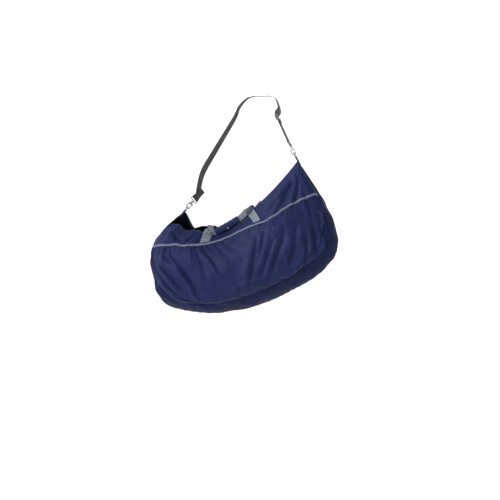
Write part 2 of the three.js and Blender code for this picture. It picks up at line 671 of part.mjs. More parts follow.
// ---- shoulder strap: one length of webbing, folded round each eye ----
const STRAP_THICK = 1.8;
const LAYER = 1.3; // from the middle of the doubled webbing to each layer
const FOLD_RADIUS = EYE.wire / 2 + 0.5 + STRAP_THICK / 2;
const SEWN_END = 118; // height of the left fold's sewn end
const ADJUSTER_AT = 205; // height of the adjuster over the right peak
const RETURN_END = ADJUSTER_AT - 4;

function strapFrame(end) {
  const { up, bar, sideways, origin } = hookFrame(end);
  const across = bar.clone().applyAxisAngle(up, radians(end.eyeTurn));
  const facing = sideways.clone().applyAxisAngle(up, radians(end.eyeTurn));
  const at = (x, z) => origin.clone().addScaledVector(facing, x).addScaledVector(up, z);
  return { across, facing, up, at };
}
const leftStrap = strapFrame(ENDS.left);
const rightStrap = strapFrame(ENDS.right);

function strapStations() {
  const fold = foldRound(EYE_BAR, FOLD_RADIUS, -1);
  const nearEye = [
    [FOLD_RADIUS, EYE_BAR + 3],
    [LAYER, EYE_BAR + 14],
  ];
  const farEye = nearEye.map(([x, z]) => [-x, z]).reverse();
  const leftEnd = [[-LAYER, SEWN_END], ...farEye, ...fold, ...nearEye].map(([x, z]) => leftStrap.at(x, z));
  const rightEnd = [[-LAYER, ADJUSTER_AT + 22], ...farEye, ...fold, ...nearEye, [LAYER, RETURN_END]].map(([x, z]) =>
    rightStrap.at(x, z),
  );
  const chest = [
    leftEnd.at(-1),
    V(-222, -143, -322),
    V(-174, -101, -222),
    V(-108, -50, -94),
    V(-90, -32, -46),
    V(-62, -12, -11),
    V(-33, 0, STRAP_THICK / 2),
  ];
  const back = [V(33, 0, STRAP_THICK / 2), V(62, -16, -13), V(84, -52, -56), rightEnd[0]];
  const smooth = (points, count) => new THREE.CatmullRomCurve3(points, false, "centripetal").getPoints(count);
  const left = smooth(chest, 34).slice(1);
  const right = smooth(back, 18).slice(0, -1);
  const turnOver = (share, from, to) => from.clone().lerp(to, THREE.MathUtils.smoothstep(share, 0, 1)).normalize();
  const level = V(0, 1, 0);
  return [
    ...leftEnd.map((p) => ({ p, across: leftStrap.across })),
    ...left.map((p, k) => ({ p, across: turnOver(k / (left.length - 1), leftStrap.across, level) })),
    ...right.map((p, k) => ({ p, across: turnOver(k / (right.length - 1), level, rightStrap.across) })),
    ...rightEnd.map((p) => ({ p, across: rightStrap.across })),
  ];
}
const strapRoute = strapStations();
const strapPoints = strapRoute.map(({ p }) => p);
const acrossStrap = (share) => strapRoute[Math.round(share * (strapRoute.length - 1))].across;
add("shoulder_strap", webbingAlong(strapPoints, acrossStrap, WEBBING, STRAP_THICK), "charcoal", 0.8);

// The adjuster is a ladder: end bars in front of both layers of webbing and a middle bar behind them.
const adjuster = new THREE.Group();
const adjusterBasis = new THREE.Matrix4().makeBasis(rightStrap.facing, rightStrap.across, rightStrap.up);
adjuster.applyMatrix4(adjusterBasis.setPosition(rightStrap.at(0, ADJUSTER_AT)));
bag.add(adjuster);
const railY = WEBBING / 2 + 2.4;
const adjusterBody = union([
  box(9.2, 3, 24, 0, -railY, 0),
  box(9.2, 3, 24, 0, railY, 0),
  box(2, 2 * railY + 1, 4, 3.6, 0, 10),
  box(2, 2 * railY + 1, 4, 3.6, 0, -10),
  box(2, 2 * railY + 1, 4, -3.6, 0, 0),
]);
addTo(adjuster, "strap_adjuster", toGeometry(adjusterBody), "black", 0.5);

// ---- stow pocket on the inside of the back panel ----
const POCKET = { width: 170, height: 120, thick: 3, y: 62, x: -80, z: -690 };
const ZIP_RUN = 140;
const pocket = new THREE.Group();
pocket.position.set(POCKET.x, POCKET.y, POCKET.z);
hung.add(pocket);
addTo(pocket, "stow_pocket", box(POCKET.width, POCKET.thick, POCKET.height), "navy", 0.6);
const pocketFace = -POCKET.thick / 2;
addTo(pocket, "stow_pocket_zip", box(ZIP_RUN + 16, 1.2, 6, 0, pocketFace - 0.9, 42), "black", 0.6);
const pocketSlider = box(10, 2.4, 7, -ZIP_RUN / 2, pocketFace - 3, 42);
addTo(pocket, "stow_pocket_slider", pocketSlider, "steel", 0.35, 1);

export default bag;
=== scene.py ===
import math

import bpy
import numpy as np
from mathutils import Matrix, Vector


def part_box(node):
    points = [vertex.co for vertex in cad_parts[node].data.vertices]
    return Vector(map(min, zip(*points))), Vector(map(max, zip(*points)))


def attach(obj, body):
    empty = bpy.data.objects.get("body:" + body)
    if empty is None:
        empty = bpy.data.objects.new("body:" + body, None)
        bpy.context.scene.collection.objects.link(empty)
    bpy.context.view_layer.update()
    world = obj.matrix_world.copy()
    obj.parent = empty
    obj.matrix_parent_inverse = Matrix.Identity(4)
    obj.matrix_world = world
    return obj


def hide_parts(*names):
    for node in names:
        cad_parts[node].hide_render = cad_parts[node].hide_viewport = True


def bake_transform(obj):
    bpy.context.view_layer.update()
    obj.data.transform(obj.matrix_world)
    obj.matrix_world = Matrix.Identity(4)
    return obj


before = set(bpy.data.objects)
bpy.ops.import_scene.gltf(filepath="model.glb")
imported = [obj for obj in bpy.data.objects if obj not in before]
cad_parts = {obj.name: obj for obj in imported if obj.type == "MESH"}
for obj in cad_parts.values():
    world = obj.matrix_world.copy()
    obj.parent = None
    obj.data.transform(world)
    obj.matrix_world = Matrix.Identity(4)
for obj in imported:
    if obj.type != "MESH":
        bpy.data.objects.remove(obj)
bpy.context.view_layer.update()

MM = 0.001
BAG_Y = -200 * MM  # the bag's middle plane
MIDDLE = np.array([0, BAG_Y, 0])
SEAM_AT = 0.88  # the gusset seam, as a share of the way from the top edge to the outline
ZIP_CENTRE = (-854.6 * MM, 523.1 * MM)
ZIP_RADIUS = 1311.4 * MM
ZIP_START, ZIP_END = 42.6, 52.3  # degrees from straight down along the zip's arc
WEBBING = 36 * MM
WEBBING_THICK = 2 * MM
CLOTH = 1.2 * MM  # thickness of the nylon with its coating and seam allowance
LIFT = 1.4 * MM  # what is sewn on stands this far off the cloth under it

# Stations of the bag from its left peak to its right peak, in mm: outline x and z, front edge x, z and
# distance from the middle plane, back edge the same, half width, and the trim's share of the way down.
OPEN_STATIONS = [
    (-287, -480, -286, -482, 3, -282, -482, 3, 5, 1),
    (-343, -532, -314, -505, 10, -272, -503, 5, 22, 1),
    (-388, -577, -342, -530, 18, -262, -525, 8, 38, 1),
    (-420, -621, -326, -533, 30, -248, -548, 12, 56, 0.95),
    (-426, -679, -300, -535, 38, -234, -546, 16, 80, 0.56),
    (-411, -756, -272, -559, 42, -218, -542, 20, 104, 0.276),
    (-386, -833, -242, -557, 44, -202, -542, 22, 122, 0.212),
    (-326, -876, -211, -560, 44, -182, -544, 22, 133, 0.17),
    (-235, -891, -164, -577, 38, -154, -551, 20, 139, 0.1),
    (-126, -889, -94, -560, 26, -94, -541, 16, 140, 0.075),
    (-16, -870, -28, -508, 14, -28, -499, 13, 140, 0.12),
]
# From here on the zip is closed: outline x and z, angle on the zip's arc, half width, trim share.
CLOSED_STATIONS = [
    (92, -833, 42.6, 139, 0.205),
    (189, -783, 44.6, 132, 0.235),
    (266, -733, 46.5, 118, 0.252),
    (326, -681, 48.2, 98, 0.28),
    (356, -619, 49.6, 78, 0.338),
    (352, -551, 50.7, 60, 0.438),
    (326, -483, 51.5, 43, 0.596),
    (284, -416, 52.1, 28, 0.9),
    (235, -345, 52.6, 15, 1),
    (186, -272, 52.95, 5, 1),
]
ZIP_EDGE = 7  # half of the zip's width between the panels, mm
MOUTH_DOWN = 0.0005  # the panels' mouth edge: just below the top edge, where the surface has a direction
ZIP_STATION = len(OPEN_STATIONS)
LAST = ZIP_STATION + len(CLOSED_STATIONS) - 1
FIRST_T, LAST_T = 0.1, LAST - 0.1
TRIM_T0, TRIM_T1 = 10 / 3, 53 / 3


# ---- the bag's surface ----
def zip_point(degrees, lift=0.0, y=0.0):
    angle = np.radians(degrees)
    radius = ZIP_RADIUS - lift
    x = ZIP_CENTRE[0] + radius * np.sin(angle)
    z = ZIP_CENTRE[1] - radius * np.cos(angle)
    return np.stack(np.broadcast_arrays(x, BAG_Y + y, z), -1)


def tracks():
    rows = {"outline": [], "front": [], "back": [], "half": [], "trim": [], "zip": []}
    for k, s in enumerate(OPEN_STATIONS):
        rows["outline"].append(s[0:2])
        rows["front"].append(s[2:5])
        rows["back"].append(s[5:8])
        rows["half"].append(s[8])
        rows["trim"].append(s[9])
        rows["zip"].append(ZIP_START - (ZIP_STATION - k) * 2)
    for x, z, angle, half, trim in CLOSED_STATIONS:
        point = zip_point(angle) / MM
        edge = (point[0], point[2], min(ZIP_EDGE, half))
        rows["outline"].append((x, z))
        rows["front"].append(edge)
        rows["back"].append(edge)
        rows["half"].append(half)
        rows["trim"].append(trim)
        rows["zip"].append(angle)
    return {name: np.array(values, float) for name, values in rows.items()}


TRACK = tracks()


def spline(values, t):
    """Catmull-Rom through evenly spaced values, where t counts stations."""
    last = len(values) - 1
    k = np.minimum(np.floor(t).astype(int), last - 1)
    f = t - k
    p0, p1 = values[np.maximum(k - 1, 0)], values[k]
    p2, p3 = values[k + 1], values[np.minimum(k + 2, last)]
    bend = 2 * p0 - 5 * p1 + 4 * p2 - p3
    return 0.5 * (2 * p1 + (p2 - p0) * f + bend * f**2 + (3 * p1 - p0 - 3 * p2 + p3) * f**3)


def top_edge(t, side):
    """x, z and distance from the middle plane of the top edge, in metres."""
    x, z, y = (spline(TRACK[side][:, n], t) * MM for n in range(3))
    on_zip = zip_point(spline(TRACK["zip"], t))
    closed = t >= ZIP_STATION
    return np.where(closed, on_zip[..., 0], x), np.where(closed, on_zip[..., 2], z), y


def surface(t, down, side):
    """The plain outer face. down is 0 at the top edge and 1 on the outline."""
    t, down = np.broadcast_arrays(np.asarray(t, float), np.asarray(down, float))
    x0, z0, y0 = top_edge(t, side)
    turn = np.arccos(1 - 2 * np.clip(down, 0, 1))
    bulge = np.sin(turn) * np.sin(turn / 2) ** 0.7
    half = spline(TRACK["half"], t) * MM * bulge * 1.12 + y0 * (1 - down) ** 2
    x = x0 + (spline(TRACK["outline"][:, 0], t) * MM - x0) * down
    z = z0 + (spline(TRACK["outline"][:, 1], t) * MM - z0) * down
    return np.stack([x, BAG_Y + (-half if side == "front" else half), z], -1)


def unit(v):
    return v / np.maximum(np.linalg.norm(v, axis=-1, keepdims=True), 1e-12)


def run_along(points):
    """How far along a line each of its points is."""
    return np.concatenate([[0], np.cumsum(np.linalg.norm(np.diff(points, axis=0), axis=1))])


def normal_at(t, down, side):
    step = 0.02
    low, high = np.maximum(down - step, 0.0005), np.minimum(down + step, 0.9995)
    t0, t1 = np.maximum(t - step, 0), np.minimum(t + step, LAST)
    along = surface(t1, down, side) - surface(t0, down, side)
    across = surface(t, high, side) - surface(t, low, side)
    normal = unit(np.cross(across, along))
    return normal if side == "front" else -normal


def trim_at(t):
    return np.minimum(spline(TRACK["trim"], t), 1)


def seam_at(t):
    """Share of the way down where panel meets gusset: the right end's gusset is wider."""
    return SEAM_AT - 0.14 * np.exp(-((t - 16.1) ** 2))


def smooth(value, low, high):
    share = np.clip((value - low) / (high - low), 0, 1)
    return share * share * (3 - 2 * share)


# ---- how the cloth lies: seams, puckers, creases and broad folds, as a height off the plain surface ----
RUN = run_along(TRACK["outline"]) * MM
LEG_STATIONS = (7.72, 10.6)  # the cloth lies flatter here, under the handles' legs

# Creases as x, z points in mm, then depth and half width in mm. The cloth rises on one side of each.
FRONT_CREASES = [
    ([(-336, -625), (-270, -700), (-217, -764), (-172, -853)], 5.5, 8),
    ([(-180, -630), (-140, -672), (-105, -715)], 5, 9),
    ([(-408, -642), (-352, -700), (-300, -742), (-252, -800)], 5, 8),
    ([(-412, -655), (-372, -722), (-318, -776), (-262, -826)], 5, 8),
    ([(-414, -672), (-388, -748), (-342, -806), (-282, -848)], 5, 9),
    ([(-412, -700), (-396, -780), (-356, -838), (-306, -868)], 4, 8),
    ([(-398, -640), (-330, -668), (-262, -720)], 3.5, 9),
    ([(-208, -632), (-176, -700), (-150, -790)], 2.5, 12),
    ([(44, -556), (36, -640), (20, -740), (12, -825)], 5, 12),
    ([(70, -548), (60, -620), (44, -700)], 3.5, 10),
    ([(112, -575), (88, -650), (56, -744)], 5, 12),
    ([(156, -540), (140, -610), (104, -700), (84, -760)], 4.5, 13),
    ([(204, -520), (196, -610), (160, -700)], 4, 13),
    ([(180, -345), (150, -410), (112, -492)], 5, 11),
    ([(199, -338), (196, -400), (180, -470)], 4, 9),
    ([(168, -365), (112, -440), (66, -500)], 3, 10),
    ([(222, -400), (246, -450), (262, -500)], 3, 8),
    ([(262, -520), (276, -590), (268, -668)], 4.5, 9),
    ([(288, -500), (312, -570), (318, -640)], 4, 8),
    ([(240, -540), (246, -620), (222, -700), (180, -756)], 4.5, 11),
    ([(-268, -602), (-236, -584), (-208, -560)], 6, 9),
    ([(-318, -560), (-296, -588), (-262, -606)], 5, 10),
    ([(-372, -596), (-352, -566), (-330, -545)], 4, 9),
    ([(-60, -720), (-20, -780), (-8, -850)], 2.5, 14),
    ([(-310, -800), (-200, -846), (-80, -862)], 2.5, 12),
]
BACK_CREASES = [
    ([(-340, -640), (-262, -720), (-200, -832)], 5, 10),
    ([(-404, -668), (-352, -760), (-280, -836)], 5, 9),
    ([(-150, -600), (-120, -690), (-116, -790)], 4, 12),
    ([(30, -545), (16, -660), (-10, -800)], 5, 12),
    ([(120, -540), (104, -640), (60, -760)], 4.5, 12),
    ([(190, -350), (150, -430), (96, -520)], 5, 11),
    ([(204, -520), (200, -620), (150, -720)], 4, 12),
    ([(270, -510), (280, -600), (262, -680)], 4, 9),
]
CREASE_DEPTH = 1.7  # makes every crease this many times as deep


def to_lines(x, z, points):
    """Signed distance to a bent line, and the share of the way along it, for each x, z in mm."""
    points = np.array(points, float)
    lengths = np.linalg.norm(np.diff(points, axis=0), axis=1)
    before = np.concatenate([[0], np.cumsum(lengths)])
    best = np.full(x.shape, 1e9)
    signed, share = np.zeros(x.shape), np.zeros(x.shape)
    for k, (a, b) in enumerate(zip(points[:-1], points[1:])):
        d = (b - a) / lengths[k]
        along = np.clip((x - a[0]) * d[0] + (z - a[1]) * d[1], 0, lengths[k])
        dx, dz = x - a[0] - along * d[0], z - a[1] - along * d[1]
        distance = np.hypot(dx, dz)
        closer = distance < best
        best = np.where(closer, distance, best)
        signed = np.where(closer, np.sign(dx * d[1] - dz * d[0]) * distance, signed)
        share = np.where(closer, (before[k] + along) / before[-1], share)
    return signed, share


def crease(x, z, points, depth, width):
    across, share = to_lines(x, z, points)
    fade = np.sin(math.pi * np.clip(share, 0.02, 0.98)) ** 0.6
    valley = np.exp(-((across / (0.75 * width)) ** 2))
    ridge = np.exp(-(((across - 1.9 * width) / (1.3 * width)) ** 2))
    return fade * depth * (0.75 * ridge - valley)


def waves(x, y, z):
    """Broad unevenness of a stuffed bag, in mm."""
    warp = 18 * np.sin(x / 61 + 0.7) + 14 * np.sin(z / 47 + 2.1) + 24 * np.sin(y / 36 + x / 83)
    total = 2.0 * np.sin((x + 0.35 * z + warp) / 33) * np.sin((z - 0.2 * x) / 52 + 1.3)
    total += 1.5 * np.sin((0.8 * x - z + warp) / 19 + 0.4)
    return total + 0.7 * np.sin((x + 0.9 * z - 1.7 * warp) / 9.5)


def puckers(run, distance, pitch, reach):
    beat = 0.55 + 0.45 * np.sin(run / (5.3 * pitch) + 1.1)
    phase = run / pitch + 0.3 * np.sin(run / (2.7 * pitch))
    return beat * np.exp(-np.abs(distance) / reach) * np.sin(2 * math.pi * phase)


def relief(t, down, side):
    """Height of the cloth off the plain surface, in metres."""
    point = surface(t, down, side) / MM
    x, y, z = point[..., 0], point[..., 1], point[..., 2]
    x0, z0, _ = top_edge(t, side)
    out = np.stack([spline(TRACK["outline"][:, n], t) * MM for n in range(2)], -1)
    depth = np.hypot(out[..., 0] - x0, out[..., 1] - z0) / MM
    run = np.interp(t, np.arange(LAST + 1), RUN) / MM
    to_trim = (down - trim_at(t)) * depth
    to_seam = (down - seam_at(t)) * depth
    own = CREASE_DEPTH * sum(crease(x, z, *c) for c in (FRONT_CREASES if side == "front" else BACK_CREASES))
    own = own + 2.0 * puckers(run, to_trim, 16, 30) * np.where(to_trim > 0, 1, 0.6)
    own = own - 2.4 * np.exp(-((to_trim / 8) ** 2))
    own = own * smooth(1 - down, 0, 1 - seam_at(t))
    shared = waves(x, y, z) + 1.3 * puckers(run, to_seam, 13, 22) - 2.0 * np.exp(-((to_seam / 6) ** 2))
    room = smooth(spline(TRACK["half"], t), 8, 70)
    near_edge = smooth(down * depth, 0, 45)
    legs = 1 - 0.8 * sum(smooth(-np.abs(t - leg), -0.85, -0.35) for leg in LEG_STATIONS) * (to_trim < 4)
    return (own + shared) * room * (0.25 + 0.75 * near_edge) * legs * MM


def cloth_at(t, down, side, lift=0.0):
    t, down = np.broadcast_arrays(np.asarray(t, float), np.asarray(down, float))
    height = relief(t, down, side) + lift
    return surface(t, down, side) + normal_at(t, down, side) * height[..., None]


# ---- meshes ----
def in_scene(name, data):
    obj = bpy.data.objects.new(name, data)
    bpy.context.scene.collection.objects.link(obj)
    return obj


def new_object(name, points, faces, uvs=None):
    mesh = bpy.data.meshes.new(name)
    mesh.from_pydata(np.asarray(points).tolist(), [], [list(map(int, f)) for f in faces])
    if uvs is not None:
        layer = mesh.uv_layers.new(name="cloth")
        corners = np.empty(len(mesh.loops), int)
        mesh.loops.foreach_get("vertex_index", corners)
        layer.data.foreach_set("uv", np.asarray(uvs)[corners].astype(np.float32).ravel())
    mesh.polygons.foreach_set("use_smooth", [True] * len(mesh.polygons))
    mesh.update()
    return in_scene(name, mesh)


def grid_faces(rows, columns, closed=False):
    i, j = np.meshgrid(np.arange(rows - 1), np.arange(columns if closed else columns - 1), indexing="ij")
    i, j = i.ravel(), j.ravel()
    k = (j + 1) % columns
    here, ahead = i * columns, (i + 1) * columns
    return np.stack([here + j, here + k, ahead + k, ahead + j], 1)


def tube_faces(rows, sides):
    """Faces of a tube of rings, with a cap on each end."""
    faces = [list(f) for f in grid_faces(rows, sides, closed=True)]
    faces.append(list(range(sides))[::-1])
    faces.append([(rows - 1) * sides + k for k in range(sides)])
    return faces


def lengths_uv(grid):
    """UVs in metres: along the rows' direction and along the columns'."""
    u = np.concatenate([[0], np.cumsum(np.linalg.norm(np.diff(grid, axis=0), axis=2).mean(1))])
    v = np.concatenate([[0], np.cumsum(np.linalg.norm(np.diff(grid, axis=1), axis=2).mean(0))])
    return np.stack(np.meshgrid(v, u), -1).reshape(-1, 2)


def grid_object(name, grid, outward, uvs=None):
    """A sheet of cloth from a grid of points, with its faces turned outward."""
    rows, columns = grid.shape[:2]
    faces = grid_faces(rows, columns)
    i, j = rows // 2, columns // 2
    edge_a, edge_b = grid[i, j + 1] - grid[i, j], grid[i + 1, j] - grid[i, j]
    if np.dot(np.cross(edge_a, edge_b), outward) < 0:
        faces = faces[:, ::-1]
    return new_object(name, grid.reshape(-1, 3), faces, lengths_uv(grid) if uvs is None else uvs)


def thicken(obj, thickness, offset=-1.0, inner=None):
    """Gives cloth its thickness, behind its face unless offset is 1, with another material inside."""
    solid = obj.modifiers.new("thickness", "SOLIDIFY")
    solid.thickness = thickness
    solid.offset = offset
    solid.use_even_offset = False
    if inner is not None:
        obj.data.materials.append(inner)
        solid.material_offset = 1


def ribbon(name, centres, acrosses, widths, thick, columns=9):
    """Webbing along a line, with soft edges. It is closed, and its UVs are metres across and along."""
    centres, acrosses = np.array(centres, float), unit(np.array(acrosses, float))
    widths = np.broadcast_to(widths, len(centres))
    along = unit(np.gradient(centres, axis=0))
    normals = unit(np.cross(along, acrosses))
    acrosses = unit(np.cross(normals, along))
    place = np.sin(np.linspace(-math.pi / 2, math.pi / 2, columns)) / 2
    height = 0.5 * np.sqrt(np.clip(1 - (2 * place) ** 8, 0.05, 1))
    loop_a = np.concatenate([place, place[::-1]])
    loop_h = np.concatenate([height, -height[::-1]]) * thick
    points = (
        centres[:, None]
        + acrosses[:, None] * (loop_a[None, :, None] * widths[:, None, None])
        + normals[:, None] * loop_h[None, :, None]
    )
    rows, count = points.shape[:2]
    run = run_along(centres)
    u = np.broadcast_to(loop_a * WEBBING, (rows, count))
    v = np.broadcast_to(run[:, None], (rows, count))
    uvs = np.stack([u, v], -1).reshape(-1, 2)
    return new_object(name, points.reshape(-1, 3), tube_faces(rows, count), uvs)


def through(points, count):
    """A smooth line through the points."""
    points = np.array(points, float)
    t = np.linspace(0, len(points) - 1, count)
    return np.stack([spline(points[:, n], t) for n in range(3)], -1)


def beads(name, centres, ways, ups, size, sides=6, rings=4):
    """Many small rounded bars in one object: each lies along its way, with size (length, width, height)."""
    turn = np.linspace(0, 2 * math.pi, sides, endpoint=False)
    lean = np.linspace(0, math.pi, rings + 1)[1:-1]
    local = [(-0.5, 0, 0)]
    for angle in lean:
        radius = 0.5 * math.sin(angle) ** 0.6
        local += [(-0.5 * math.cos(angle), radius * math.cos(a), radius * math.sin(a)) for a in turn]
    local += [(0.5, 0, 0)]
    local = np.array(local) * np.array(size)
    faces = []
    last = len(local) - 1
    for k in range(sides):
        faces.append([0, 1 + (k + 1) % sides, 1 + k])
        faces.append([last, last - sides + k, last - sides + (k + 1) % sides])
    for ring in range(len(lean) - 1):
        a = 1 + ring * sides
        for k in range(sides):
            n = (k + 1) % sides
            faces.append([a + k, a + n, a + sides + n, a + sides + k])
    ways, ups = unit(np.array(ways, float)), np.array(ups, float)
    sideways = unit(np.cross(ups, ways))
    ups = np.cross(ways, sideways)
    centres = np.array(centres, float)
    points = (
        centres[:, None]
        + local[None, :, 0, None] * ways[:, None]
        + local[None, :, 1, None] * sideways[:, None]
        + local[None, :, 2, None] * ups[:, None]
    )
    all_faces = [[i + n * len(local) for i in f] for n in range(len(centres)) for f in faces]
    return new_object(name, points.reshape(-1, 3), all_faces)


def at_places(places, known, values):
    """Rows of values at these places, between the rows at the known places."""
    return np.stack([np.interp(places, known, values[:, n]) for n in range(3)], -1)


def spaced(points, pitch):
    """Points every pitch along a line, with their directions and indices into the line."""
    points = np.array(points, float)
    run = run_along(points)
    at = np.arange(pitch / 2, run[-1], pitch)
    ways = unit(at_places(at + pitch / 4, run, points) - at_places(at - pitch / 4, run, points))
    return at_places(at, run, points), ways, np.interp(at, run, np.arange(len(points)))


STITCH = (3.0 * MM, 0.8 * MM, 0.7 * MM)
STITCH_PITCH = 4.2 * MM


def stitches(name, lines, material, body):
    """Rows of stitches. Each line is (points, outward normals)."""
    places, ways, ups = [], [], []
    for points, normals in lines:
        place, way, index = spaced(points, STITCH_PITCH)
        normals = np.broadcast_to(normals, np.array(points).shape)
        places.append(place)
        ways.append(way)
        ups.append(at_places(index, np.arange(len(normals)), normals))
    obj = beads(name, np.concatenate(places), np.concatenate(ways), np.concatenate(ups), STITCH, 5, 3)
    finish_piece(obj, material, body)


def finish_piece(obj, material, body, replaced=()):
    """Gives a piece its material unless it has one, its body and what it stands for."""
    if not obj.data.materials:
        obj.data.materials.append(material)
    if body:
        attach(obj, body)
    if replaced:
        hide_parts(*replaced)


# ---- materials ----
class Nodes:
    """A material's node tree, with short calls for what the cloths share."""

    def __init__(self, name):
        self.material = bpy.data.materials.new(name)
        self.material.use_nodes = True
        self.tree = self.material.node_tree
        self.shader = self.tree.nodes["Principled BSDF"]

    def add(self, kind, **values):
        node = self.tree.nodes.new(kind)
        for key, value in values.items():
            setattr(node, key, value)
        return node

    def link(self, a, b):
        self.tree.links.new(a, b)

    def math(self, operation, a, b=None):
        node = self.add("ShaderNodeMath", operation=operation)
        for socket, value in zip(node.inputs, (a, b)):
            if value is None:
                continue
            if isinstance(value, (int, float)):
                socket.default_value = value
            else:
                self.link(value, socket)
        return node.outputs[0]

    def noise(self, scale, detail=3.0, rough=0.5, stretch=None):
        coordinates = self.add("ShaderNodeTexCoord").outputs["Object"]
        if stretch is not None:
            mapping = self.add("ShaderNodeMapping")
            mapping.inputs["Scale"].default_value = stretch
            self.link(coordinates, mapping.inputs["Vector"])
            coordinates = mapping.outputs["Vector"]
        node = self.add("ShaderNodeTexNoise")
        node.inputs["Scale"].default_value = scale
        node.inputs["Detail"].default_value = detail
        node.inputs["Roughness"].default_value = rough
        self.link(coordinates, node.inputs["Vector"])
        return node.outputs["Fac"]

    def uv(self):
        separate = self.add("ShaderNodeSeparateXYZ")
        self.link(self.add("ShaderNodeUVMap", uv_map="cloth").outputs["UV"], separate.inputs[0])
        return separate.outputs[0], separate.outputs[1]

    def wave(self, value, pitch, phase=0.0):
        return self.math("SINE", self.math("ADD", self.math("MULTIPLY", value, 2 * math.pi / pitch), phase))

    def ramp(self, factor, stops):
        node = self.add("ShaderNodeValToRGB")
        elements = node.color_ramp.elements
        while len(elements) < len(stops):
            elements.new(0.5)
        for element, (place, colour) in zip(elements, stops):
            element.position = place
            element.color = (*colour, 1)
        self.link(factor, node.inputs["Fac"])
        return node.outputs["Color"]

    def colour(self, factor, stops):
        self.link(self.ramp(factor, stops), self.shader.inputs["Base Color"])

    def rough(self, factor, low, high):
        node = self.add("ShaderNodeMapRange")
        node.inputs["To Min"].default_value = low
        node.inputs["To Max"].default_value = high
        self.link(factor, node.inputs["Value"])
        self.link(node.outputs["Result"], self.shader.inputs["Roughness"])

    def bump(self, *layers):
        """Each layer is (height, distance in metres)."""
        normal = None
        for height, distance in layers:
            node = self.add("ShaderNodeBump")
            node.inputs["Strength"].default_value = 1.0
            node.inputs["Distance"].default_value = distance
            self.link(height, node.inputs["Height"])
            if normal is not None:
                self.link(normal, node.inputs["Normal"])
            normal = node.outputs["Normal"]
        self.link(normal, self.shader.inputs["Normal"])

    def set(self, **values):
        for key, value in values.items():
            self.shader.inputs[key.replace("_", " ")].default_value = value
        return self.material


def scaled(colour, factor):
    return tuple(c * factor for c in colour)


def nylon(name, colour, sheen=0.04, roughness=(0.40, 0.54)):
    """Thin ripstop nylon: a fine plain weave, a faint grid of heavier threads, cloudy colour."""
    m = Nodes(name)
    m.colour(m.noise(9, 4, 0.6), [(0.3, scaled(colour, 0.82)), (0.7, scaled(colour, 1.18))])
    m.rough(m.noise(60, 3), *roughness)
    u, v = m.uv()
    weave = m.math("MULTIPLY", m.wave(u, 0.9 * MM), m.wave(v, 0.9 * MM))
    grid_u = m.math("POWER", m.math("ABSOLUTE", m.wave(u, 12 * MM)), 24)
    grid_v = m.math("POWER", m.math("ABSOLUTE", m.wave(v, 12 * MM)), 24)
    ripstop = m.math("MAXIMUM", grid_u, grid_v)
    crinkle = m.noise(55, 5, 0.62)
    m.bump((crinkle, 3.0 * MM), (ripstop, 0.10 * MM), (weave, 0.05 * MM))
    return m.set(Sheen_Weight=sheen, Sheen_Roughness=0.4, Specular_IOR_Level=0.09)


def webbing(name, colour, rib=2.4 * MM):
    """Ribbed webbing: ribs across, a fine herringbone between them and slightly worn edges."""
    m = Nodes(name)
    u, v = m.uv()
    rib_wave = m.wave(v, rib)
    thread = m.wave(m.math("ADD", u, m.math("MULTIPLY", m.math("ABSOLUTE", rib_wave), 0.6 * MM)), 1.5 * MM)
    edge = m.math("POWER", m.math("ABSOLUTE", m.math("MULTIPLY", u, 2 / WEBBING)), 8)
    tone = m.math("ADD", m.math("MULTIPLY", rib_wave, 0.14), m.math("MULTIPLY", edge, 0.3))
    tone = m.math("ADD", m.math("ADD", tone, m.noise(140, 3)), m.math("MULTIPLY", thread, 0.08))
    m.colour(tone, [(0.25, scaled(colour, 0.72)), (0.5, colour), (0.95, scaled(colour, 1.3))])
    m.rough(m.noise(300, 2), 0.62, 0.82)
    m.bump((rib_wave, 0.35 * MM), (thread, 0.15 * MM), (m.noise(900, 2), 0.1 * MM))
    return m.set(Sheen_Weight=0.08, Specular_IOR_Level=0.2)


def cord_cloth(name, colour):
    """The piping's cover: a diagonal twill of pale and darker threads."""
    m = Nodes(name)
    u, v = m.uv()
    twill = m.wave(m.math("ADD", v, m.math("MULTIPLY", u, 1.4)), 3.2 * MM)
    thread = m.wave(m.math("SUBTRACT", v, u), 0.9 * MM)
    tone = m.math("ADD", m.math("MULTIPLY", twill, 0.28), m.noise(120, 3))
    m.colour(tone, [(0.2, scaled(colour, 0.6)), (0.5, colour), (0.85, scaled(colour, 1.35))])
    m.rough(m.noise(260, 2), 0.55, 0.78)
    m.bump((twill, 0.5 * MM), (thread, 0.12 * MM))
    return m.set(Sheen_Weight=0.05, Specular_IOR_Level=0.2)


def metal(name, colour, roughness=(0.14, 0.3), metallic=1.0):
    m = Nodes(name)
    smear = m.noise(420, 4, 0.6, (1, 1, 0.25))
    m.colour(smear, [(0.3, scaled(colour, 0.86)), (0.7, scaled(colour, 1.06))])
    m.rough(smear, *roughness)
    m.bump((m.noise(900, 3), 0.06 * MM))
    return m.set(Metallic=metallic)


def plastic(name, colour, roughness=(0.35, 0.5)):
    m = Nodes(name)
    grain = m.noise(1400, 2)
    m.colour(m.noise(160, 3), [(0.3, scaled(colour, 0.8)), (0.7, scaled(colour, 1.25))])
    m.rough(grain, *roughness)
    m.bump((grain, 0.12 * MM))
    return m.set(Specular_IOR_Level=0.45)


